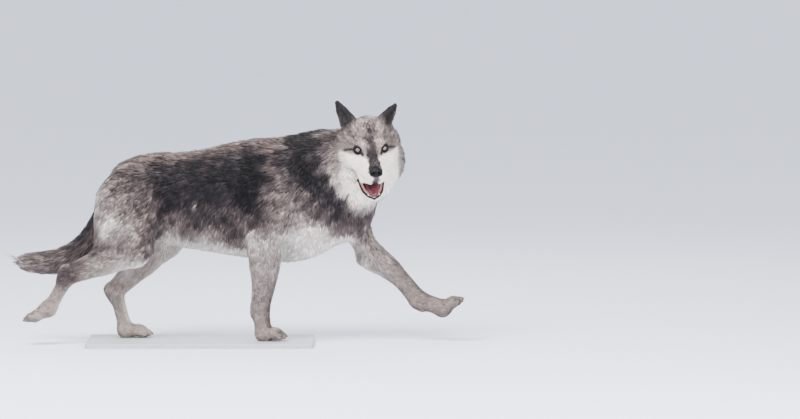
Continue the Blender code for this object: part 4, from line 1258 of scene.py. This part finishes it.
def split(chosen, root, most):
    """Tufts parted along the longest side of their box until no part has more than most."""
    if len(chosen) <= most:
        return [chosen]
    axis = np.argmax(np.ptp(root[chosen], axis=0))
    order = chosen[np.argsort(root[chosen, axis], kind="stable")]
    half = len(chosen) // 2
    return split(order[:half], root, most) + split(order[half:], root, most)


# ---------------------------------------------------------------- small pieces
def ring(centre, u, v, around):
    """Points on an oval round its centre, with u and v its half axes."""
    turn = 2 * math.pi * np.arange(around)[:, None] / around
    return np.asarray(centre) + np.cos(turn) * u + np.sin(turn) * v


def tube_faces(rows, around, closed=False):
    """Faces between rings of points, from the last to the first too if closed."""
    return [(i * around + k, i * around + (k + 1) % around, (i + 1) % rows * around + (k + 1) % around,
             (i + 1) % rows * around + k) for i in range(rows if closed else rows - 1) for k in range(around)]


def capped(rings, last=None, first=None):
    """Vertices and faces of rings closed by flat ends, or by points."""
    around, count = len(rings[0]), len(rings) * len(rings[0])
    verts, faces = [*np.concatenate(rings)], tube_faces(len(rings), around)
    for tip, ends in ((first, range(around)[::-1]), (last, range(count - around, count))):
        if tip is None:
            faces.append(tuple(ends))
        else:
            verts.append(tip)
            faces += [(a, b, len(verts) - 1) for a, b in zip(ends, [*ends[1:], ends[0]])]
    return verts, faces


def tapered(points, radii, sides, squash=1.0, across=(0.3, 0.2, 1.0)):
    """A closed tapered tube; its last radius is 0 for a point."""
    points = [np.asarray(p, float) for p in points]
    way = unit(points[-1] - points[0])
    u = unit(np.cross(way, across))
    v = np.cross(way, u) * squash
    return capped([ring(p, r * u, r * v, sides) for p, r in zip(points, radii) if r > 0],
                  points[-1] if radii[-1] == 0 else None)


def joined(parts):
    verts, faces = [], []
    for some, sides in parts:
        faces += [tuple(i + len(verts) for i in face) for face in sides]
        verts += [tuple(v) for v in some]
    return verts, faces


def solid(name, verts, faces, finish, levels=0):
    starts = starts_of([len(f) for f in faces])
    obj = mesh_object(name, np.array(verts), np.concatenate([np.array(f) for f in faces]), starts, finish)
    if levels:
        finer = obj.modifiers.new("finer", "SUBSURF")
        finer.levels = finer.render_levels = levels
    return obj


def gaze(side):
    """Where an eye looks, in the head's frame: at the viewer, the two eyes slightly apart."""
    rise = math.radians(4)
    return unit(HEAD_AXES.T @ np.array([0, -math.cos(rise), math.sin(rise)]) + np.array([0, 0.05 * side, 0]))


def eye(side, finish):
    """Eyeball with the cornea's bulge, and the angle from the pupil's middle at each point."""
    way = gaze(side)
    u = unit(np.cross(way, (0, 0, 1)))
    v = np.cross(u, way)
    bulge, rows, around = 0.0011, 40, 48
    rings, angles = [], []
    for a in (math.pi * i / rows for i in range(1, rows)):
        r = EYE_RADIUS + bulge * math.exp(-(a / 0.52) ** 4)
        rings.append(ring(r * math.cos(a) * way, r * math.sin(a) * u, r * math.sin(a) * v, around))
        angles += [math.degrees(a)] * around
    verts, faces = capped(rings, -way * EYE_RADIUS, way * (EYE_RADIUS + bulge))
    place = from_head(EYE_PLACE * (1, side, 1))
    name = f"eye_{'left' if side > 0 else 'right'}_ball"
    obj = solid(name, [place + HEAD_AXES @ w for w in verts], faces, finish)
    put_attribute(obj, "ring", [*angles, 0.0, 180.0])
    return obj


def lid_rims(finish):
    """The bare dark edge of the lids round each eye."""
    parts = []
    wide, high, low = EYE_OPENING
    steps, sides, r = 44, 8, EYE_RADIUS + 0.0012
    for side in (1, -1):
        path, thick = [], []
        for t in (2 * math.pi * i / steps for i in range(steps)):
            upper = math.sin(t) > 0
            a = wide * 1.02 * math.cos(t)
            b = (high if upper else -low) * math.sin(t) ** 2
            c = math.sqrt(max(r * r - a * a - b * b, 0))
            place = EYE_PLACE + a * EYE_ALONG + b * EYE_UP + c * EYE_OUT
            path.append(from_head(place * (1, side, 1)))
            thick.append(0.0017 if upper else 0.0014)
        middle = from_head(EYE_PLACE * (1, side, 1))
        rings = []
        for i, p in enumerate(path):
            out = unit(p - middle)
            across = np.cross(unit(path[(i + 1) % steps] - path[i - 1]), out)
            rings.append(ring(p, thick[i] * out, thick[i] * across, sides))
        parts.append((np.concatenate(rings), tube_faces(steps, sides, closed=True)))
    return solid("eyelid_rims", *joined(parts), finish)


def nose_distance(p):
    q = folded(to_head(p))
    d = Ball(NOSE_PLACE, (0.0160, 0.0245, 0.0190)).distance(q)
    d = smooth_min(d, Ball((0.116, 0, -0.040), (0.014, 0.0160, 0.0110)).distance(q), 0.008)
    d = smooth_min(d, Ball((0.133, 0.0150, -0.0535), (0.0090, 0.0095, 0.0105)).distance(q), 0.005)
    holes = [Form((0.150, 0.0100, -0.0510), (0.126, 0.0110, -0.0470), 0.0054, 0.0026, (1.15, 0.85)),   # nostril
             Form((0.147, 0.0130, -0.0545), (0.130, 0.0250, -0.0520), 0.0021, 0.0017),   # its slit
             Form((0.148, 0, -0.0520), (0.136, 0, -0.0720), 0.0014, 0.0016)]   # groove
    for hole in holes:
        d = cut(d, hole.distance(q), 0.003)
    return d


def tongue_distance(p):
    q = shut(to_head(p))
    groove = Form((0.010, 0, -0.0745), (0.092, 0, -0.0830), 0.0030, 0.0020)
    return cut(TONGUE.distance(q), groove.distance(q), 0.006)


def netted(name, field, middle, reach, cell, finish):
    """A piece from its implicit form, in a box that reaches so far from its middle."""
    points, quads = surface_net(field, middle - reach, middle + reach, cell)
    used, index = np.unique(quads.ravel(), return_inverse=True)
    return mesh_object(name, points[used], index, np.arange(0, len(index), 4), finish)


def teeth(finish):
    """Lower canines and incisors: base, tip and radius, given for the shut jaw."""
    rows = [((0.093, 0.0190, -0.104), (0.099, 0.0220, -0.086), 0.0034)]
    rows += [((0.1050 - 0.0010 * k, 0.0022 + 0.0042 * k, -0.1030),
              (0.1075 - 0.0010 * k, 0.0022 + 0.0044 * k, -0.0972), 0.0017) for k in range(3)]
    parts = []
    for side in (1, -1):
        for base, tip, r in rows:
            base, tip = (from_head(opened(np.multiply(v, (1, side, 1)))) for v in (base, tip))
            bend = 0.5 * (base + tip) + 0.05 * np.linalg.norm(tip - base) * HEAD_AXES[:, 0]
            parts.append(tapered([base, bend, 0.15 * bend + 0.85 * tip, tip], [r, 0.8 * r, 0.35 * r, 0], 8))
    return solid("teeth", *joined(parts), finish, 1)


def pads():
    """Centre, radii and axes of every pad under the paws."""
    found = []
    for name, joints in LEGS.items():
        ahead, top, length, _ = paw(name)
        axes = np.column_stack([ahead, (0, 1, 0), top])
        found.append((joints[3] + 0.26 * length * ahead - 0.0205 * top, (0.020, 0.024, 0.0090), axes))
        found += [(start + (long - 0.021) * ahead - 0.0175 * top, (0.0130, 0.0082, 0.0062), axes)
                  for start, long, _ in toe_rows(name)]
    return found


def pad_object(finish):
    parts, rows, around = [], 8, 16
    for centre, radii, axes in pads():
        ahead, side, top = (axes * radii).T
        rings = [ring(centre + math.cos(a) * ahead, math.sin(a) * top, math.sin(a) * side, around)
                 for a in (math.pi * i / rows for i in range(1, rows))]
        parts.append(capped(rings, centre - ahead, centre + ahead))
    verts, faces = joined(parts)
    return solid("pads", [(x, y, max(z, 0.0004)) for x, y, z in verts], faces, finish)


def claws(finish):
    parts = []
    for name in LEGS:
        ahead, top, _, _ = paw(name)
        for start, long, _ in toe_rows(name):
            start = start + (long - 0.006) * ahead - 0.004 * top
            path = [start + a * ahead - b * top for a, b in ((0, 0), (0.008, 0.0005), (0.014, 0.0035),
                                                             (0.0185, 0.0085))]
            path = [(x, y, max(z, 0.003)) for x, y, z in path]
            parts.append(tapered(path, [0.0040, 0.0038, 0.0026, 0], 8, 0.75, (0, 1, 0)))
    return solid("claws", *joined(parts), finish, 1)


def stand(finish):
    """A flat plinth with rounded corners and a small bevel along its upper rim."""
    low, high = np.array(STAND_LOW), np.array(STAND_HIGH)
    bm = bmesh.new()
    bmesh.ops.create_cube(bm, size=1.0)
    bmesh.ops.scale(bm, vec=(high - low).tolist(), verts=bm.verts)
    upright = [e for e in bm.edges if abs(e.verts[0].co.z - e.verts[1].co.z) > 0.001]
    bmesh.ops.bevel(bm, geom=upright, offset=0.020, segments=10, affect="EDGES", profile=0.5)
    rim = [e for e in bm.edges if min(v.co.z for v in e.verts) > 0.001 and len(e.link_faces) == 2
           and any(abs(f.normal.z) < 0.5 for f in e.link_faces) and any(f.normal.z > 0.5 for f in e.link_faces)]
    bmesh.ops.bevel(bm, geom=rim, offset=0.003, segments=4, affect="EDGES", profile=0.5)
    bmesh.ops.translate(bm, vec=((low + high) / 2 - SHIFT).tolist(), verts=bm.verts)
    verts, _, loops, starts, _ = arrays_of(bm)
    bm.free()
    return mesh_object("plinth", verts, loops, starts, finish, smooth=False)


# ---------------------------------------------------------------- materials
def rgba(rgb):
    return (*linear(rgb), 1)


class Nodes:
    """Builds the node tree of one material."""

    def __init__(self, name, roughness=0.6, specular=0.5):
        self.made = bpy.data.materials.new(name)
        self.made.use_nodes = True
        self.tree = self.made.node_tree
        self.shader = self.tree.nodes["Principled BSDF"]
        self.shader.inputs["Roughness"].default_value = roughness
        self.shader.inputs["Specular IOR Level"].default_value = specular
        self.place = self.tree.nodes.new("ShaderNodeTexCoord").outputs["Object"]

    def add(self, kind, links, **values):
        """A node with these inputs, which are sockets or plain values, and these settings."""
        node = self.tree.nodes.new(kind)
        for key, value in values.items():
            setattr(node, key, value)
        for key, source in links.items():
            if isinstance(source, bpy.types.NodeSocket):
                self.tree.links.new(source, node.inputs[key])
            else:
                node.inputs[key].default_value = source
        return node

    def put(self, socket, source):
        self.tree.links.new(source, self.shader.inputs[socket])

    def noise(self, scale, detail=3.0, roughness=0.6):
        return self.add("ShaderNodeTexNoise", {"Vector": self.place, "Scale": scale, "Detail": detail,
                                               "Roughness": roughness}).outputs["Fac"]

    def range(self, value, low, high, new_low, new_high):
        return self.add("ShaderNodeMapRange", {"Value": value, "From Min": low, "From Max": high,
                                               "To Min": new_low, "To Max": new_high}).outputs["Result"]

    def varied(self, scale, low, high, detail=3.0, roughness=0.6):
        """Noise that runs mostly from low to high."""
        return self.range(self.noise(scale, detail, roughness), 0.3, 0.7, low, high)

    def scaled(self, colour, amount):
        """A colour times a number."""
        return self.add("ShaderNodeVectorMath", {0: colour, 1: amount}, operation="MULTIPLY").outputs["Vector"]

    def mix(self, share, a, b):
        """A mix of two colours: the node's inputs 0, 6 and 7 are the share and the colours."""
        return self.add("ShaderNodeMix", {0: share, 6: rgba(a), 7: rgba(b)}, data_type="RGBA").outputs[2]

    def attribute(self, name, colour=False):
        return self.add("ShaderNodeAttribute", {}, attribute_name=name).outputs["Color" if colour else "Fac"]

    def bump(self, height, strength, distance):
        out = self.add("ShaderNodeBump", {"Height": height, "Strength": strength, "Distance": distance})
        self.put("Normal", out.outputs["Normal"])

    def ramped(self, value, stops):
        node = self.add("ShaderNodeValToRGB", {"Fac": value})
        elements = node.color_ramp.elements
        while len(elements) < len(stops):
            elements.new(0.5)
        for element, (place, colour) in zip(elements, stops):
            element.position = place
            element.color = rgba(colour)
        return node.outputs["Color"]


def coat_material():
    n = Nodes("coat", 0.72, 0.25)
    fine, broad = n.varied(420.0, 0.86, 1.12), n.varied(28.0, 0.92, 1.08)
    n.put("Base Color", n.scaled(n.scaled(n.attribute("marking", True), fine), broad))
    n.put("Roughness", n.varied(160.0, 0.62, 0.82))
    n.bump(n.noise(900.0), 0.25, 0.0006)
    return n.made


def skin_material():
    n = Nodes("skin", 0.8, 0.15)
    n.put("Base Color", n.scaled(n.attribute("marking", True), n.varied(380.0, 0.70, 1.05, 5.0)))
    n.put("Roughness", n.range(n.attribute("wet"), 0.0, 1.0, 0.85, 0.44))
    n.bump(n.noise(520.0, 5.0), 0.5, 0.0010)
    return n.made


def eye_material():
    """Pupil, iris with streaks, its dark rim and the white, by the angle from the pupil's middle."""
    n = Nodes("eye", 0.06, 0.5)
    streak = n.varied(620.0, -3.0, 3.0, 4.0, 0.7)
    angle = n.add("ShaderNodeMath", {0: n.attribute("ring"), 1: streak}, operation="ADD").outputs[0]
    n.put("Base Color", n.ramped(n.range(angle, 0.0, 90.0, 0.0, 1.0), [
        (0.0, (4, 3, 3)), (0.125, (5, 4, 4)), (0.155, (60, 36, 20)), (0.27, (116, 88, 60)),
        (0.375, (94, 66, 42)), (0.425, (34, 21, 16)), (0.50, (30, 21, 21)), (0.75, (62, 46, 44))]))
    n.shader.inputs["Coat Weight"].default_value = 1.0
    n.shader.inputs["Coat Roughness"].default_value = 0.03
    return n.made


def plain_material(name, colour, other, scale, roughness, bump, distance=0.0006, specular=0.5):
    """Two tones in noise, with roughness and bump from the same."""
    n = Nodes(name, roughness, specular)
    n.put("Base Color", n.mix(n.range(n.noise(scale, 4.0), 0.35, 0.65, 0.0, 1.0), colour, other))
    n.put("Roughness", n.varied(scale * 2.3, roughness * 0.85, min(roughness * 1.15, 1)))
    n.bump(n.noise(scale * 4.0, 4.0), bump, distance)
    return n.made


def nose_material():
    n = Nodes("nose", 0.5, 0.11)
    cells = n.add("ShaderNodeTexVoronoi", {"Vector": n.place, "Scale": 620.0}, feature="DISTANCE_TO_EDGE")
    n.put("Base Color", n.mix(n.noise(90.0), (6, 5, 6), (14, 12, 14)))
    n.put("Roughness", n.varied(240.0, 0.40, 0.60))
    n.bump(cells.outputs["Distance"], 0.5, 0.0012)
    return n.made


def floor_material():
    n = Nodes("floor", 0.9, 0.2)
    n.put("Base Color", n.mix(n.noise(0.8), (200, 205, 220), (206, 211, 225)))
    n.put("Roughness", n.varied(14.0, 0.84, 0.96))
    n.bump(n.noise(120.0), 0.05, 0.001)
    return n.made


# ---------------------------------------------------------------- the wolf
NOT_FLESH = ("eye_left", "eye_right", "nose", "tongue", "stand_base")
FLESH = [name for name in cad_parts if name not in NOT_FLESH]
SKIN_LOW, SKIN_HIGH = (-0.82, -0.40, -0.02), (1.02, 0.22, 1.0)   # the box that is searched for skin


def hand_over(obj, slot=None, *nodes):
    """Fixes a piece to the body, in place of these nodes of the solids. Its slot is not used."""
    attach(obj, "root")
    if nodes:
        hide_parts(*nodes)


def build_skin(finish):
    bm = to_bmesh(*surface_net(skin_distance, SKIN_LOW, SKIN_HIGH, CELL))
    for zone in (zone_head, zone_face, zone_eyes):
        refine(bm, zone)
    arrays = arrays_of(bm)
    bm.free()
    verts, normals, loops, starts, _ = arrays
    obj = mesh_object("skin", verts, loops, starts, finish)
    colour, wet, _ = markings(verts, normals, region_distances(verts))
    put_attribute(obj, "marking", colour)
    put_attribute(obj, "wet", wet)
    hand_over(obj, "coat", *FLESH)
    return arrays


def build_coat(arrays, finish):
    verts, normals, loops, starts, sizes = arrays
    tree = BVHTree.FromPolygons(verts.tolist(), [loops[s:s + k].tolist() for s, k in zip(starts, sizes)])
    corners, face_of = skin_triangles(starts, sizes)
    tufts = grown(verts, normals, loops[corners], tree)
    colours = coloured(tufts)
    strongest = np.argmin([tufts["near"][name] for name in REGIONS], 0)
    for number, region in enumerate(REGIONS):
        inside = np.flatnonzero(strongest == number)
        if not len(inside):
            continue
        triangles = 16 if np.median(tufts["length"][inside]) > LONG_TUFT else 10   # in a tuft
        parts = split(inside, tufts["root"], MOST_TRIANGLES // triangles)
        for k, chosen in enumerate(parts):
            triangle = tufts["triangle"][chosen]
            uv = unwrapped(verts, loops, starts, sizes, np.unique(face_of[triangle]))
            places = (uv[corners[triangle]] * tufts["weights"][chosen][:, :, None]).sum(1)
            name = f"coat_{region}" + (f"_{k + 1}" if len(parts) > 1 else "")
            obj = tuft_object(name, tufts, chosen, colours, places, finish)
            hand_over(obj, "face_coat" if region in ("head", "jaw") else "coat")


def build_small_pieces():
    black = plain_material("dark_skin", (12, 10, 10), (20, 16, 17), 160.0, 0.6, 0.2, specular=0.12)
    tongue_skin = plain_material("tongue_skin", (86, 36, 43), (60, 24, 30), 60.0, 0.45, 0.4, 0.0008, 0.3)
    ivory = plain_material("ivory", (226, 216, 196), (206, 192, 164), 220.0, 0.3, 0.05)
    horn = plain_material("horn", (34, 28, 26), (66, 54, 48), 180.0, 0.4, 0.15)
    pad_skin = plain_material("pad_skin", (58, 50, 48), (92, 80, 70), 260.0, 0.75, 0.6, 0.0012)
    paint = plain_material("stand_paint", (146, 148, 154), (156, 158, 164), 40.0, 0.6, 0.12)
    eyes = eye_material()
    hand_over(eye(1, eyes), "eye", "eye_left")
    hand_over(eye(-1, eyes), "eye", "eye_right")
    nose = netted("nose_leather", nose_distance, from_head(NOSE_PLACE), 0.036, 0.0012, nose_material())
    hand_over(nose, "nose_skin", "nose")
    tongue = netted("tongue_flesh", tongue_distance, from_head(opened((0.05, 0, -0.09))), 0.085, 0.0020,
                    tongue_skin)
    hand_over(tongue, "tongue_skin", "tongue")
    hand_over(lid_rims(black), "nose_skin")
    hand_over(teeth(ivory))
    hand_over(claws(horn))
    hand_over(pad_object(pad_skin))
    hand_over(stand(paint), "stand", "stand_base")


# ---------------------------------------------------------------- floor, light and camera
CAMERA_TARGET, CAMERA_RISE, CAMERA_AWAY, VIEW_WIDTH = (0.703, 0.0, 0.4947), math.radians(4.0), 19.0, 3.04
SENSOR = 36   # millimetres
LIGHTS = {   # place as seen from LIGHTS_AIM, at which they all point, size and power
    "key": ((-1.6, -3.6, 4.2), 3.2, 1120),
    "fill": ((3.4, -4.0, 1.6), 3.4, 410),
    "rim": ((0.5, 3.4, 3.2), 2.4, 110),
}
LIGHTS_AIM = (0.1, 0, 0.5)


def floor():
    bm = bmesh.new()
    bmesh.ops.create_grid(bm, x_segments=2, y_segments=2, size=60.0)
    mesh = bpy.data.meshes.new("floor")
    bm.to_mesh(mesh)
    bm.free()
    mesh.materials.append(floor_material())
    linked("floor", mesh)


def aimed(obj, place, target):
    obj.location = Vector(place)
    obj.rotation_euler = (Vector(target) - Vector(place)).to_track_quat("-Z", "Y").to_euler()


def studio():
    world = bpy.data.worlds.new("studio")
    bpy.context.scene.world = world
    world.use_nodes = True
    sky = world.node_tree.nodes["Background"]
    sky.inputs["Color"].default_value = (0.92, 0.94, 1.0, 1)
    sky.inputs["Strength"].default_value = 2.05
    middle = SHIFT + LIGHTS_AIM
    for name, (place, size, power) in LIGHTS.items():
        data = bpy.data.lights.new(name, "AREA")
        data.shape, data.size, data.energy = "DISK", size, power
        aimed(linked(name, data), middle + place, middle)
    data = bpy.data.cameras.new("camera")
    data.sensor_width = SENSOR
    data.lens = SENSOR * CAMERA_AWAY / VIEW_WIDTH
    data.clip_end = 200
    camera = linked("camera", data)
    target = np.array(CAMERA_TARGET) + SHIFT
    aimed(camera, target + CAMERA_AWAY * np.array([0, -math.cos(CAMERA_RISE), math.sin(CAMERA_RISE)]), target)
    bpy.context.scene.camera = camera


skin = build_skin(skin_material())
build_coat(skin, coat_material())
build_small_pieces()
floor()
studio()
bpy.context.view_layer.update()
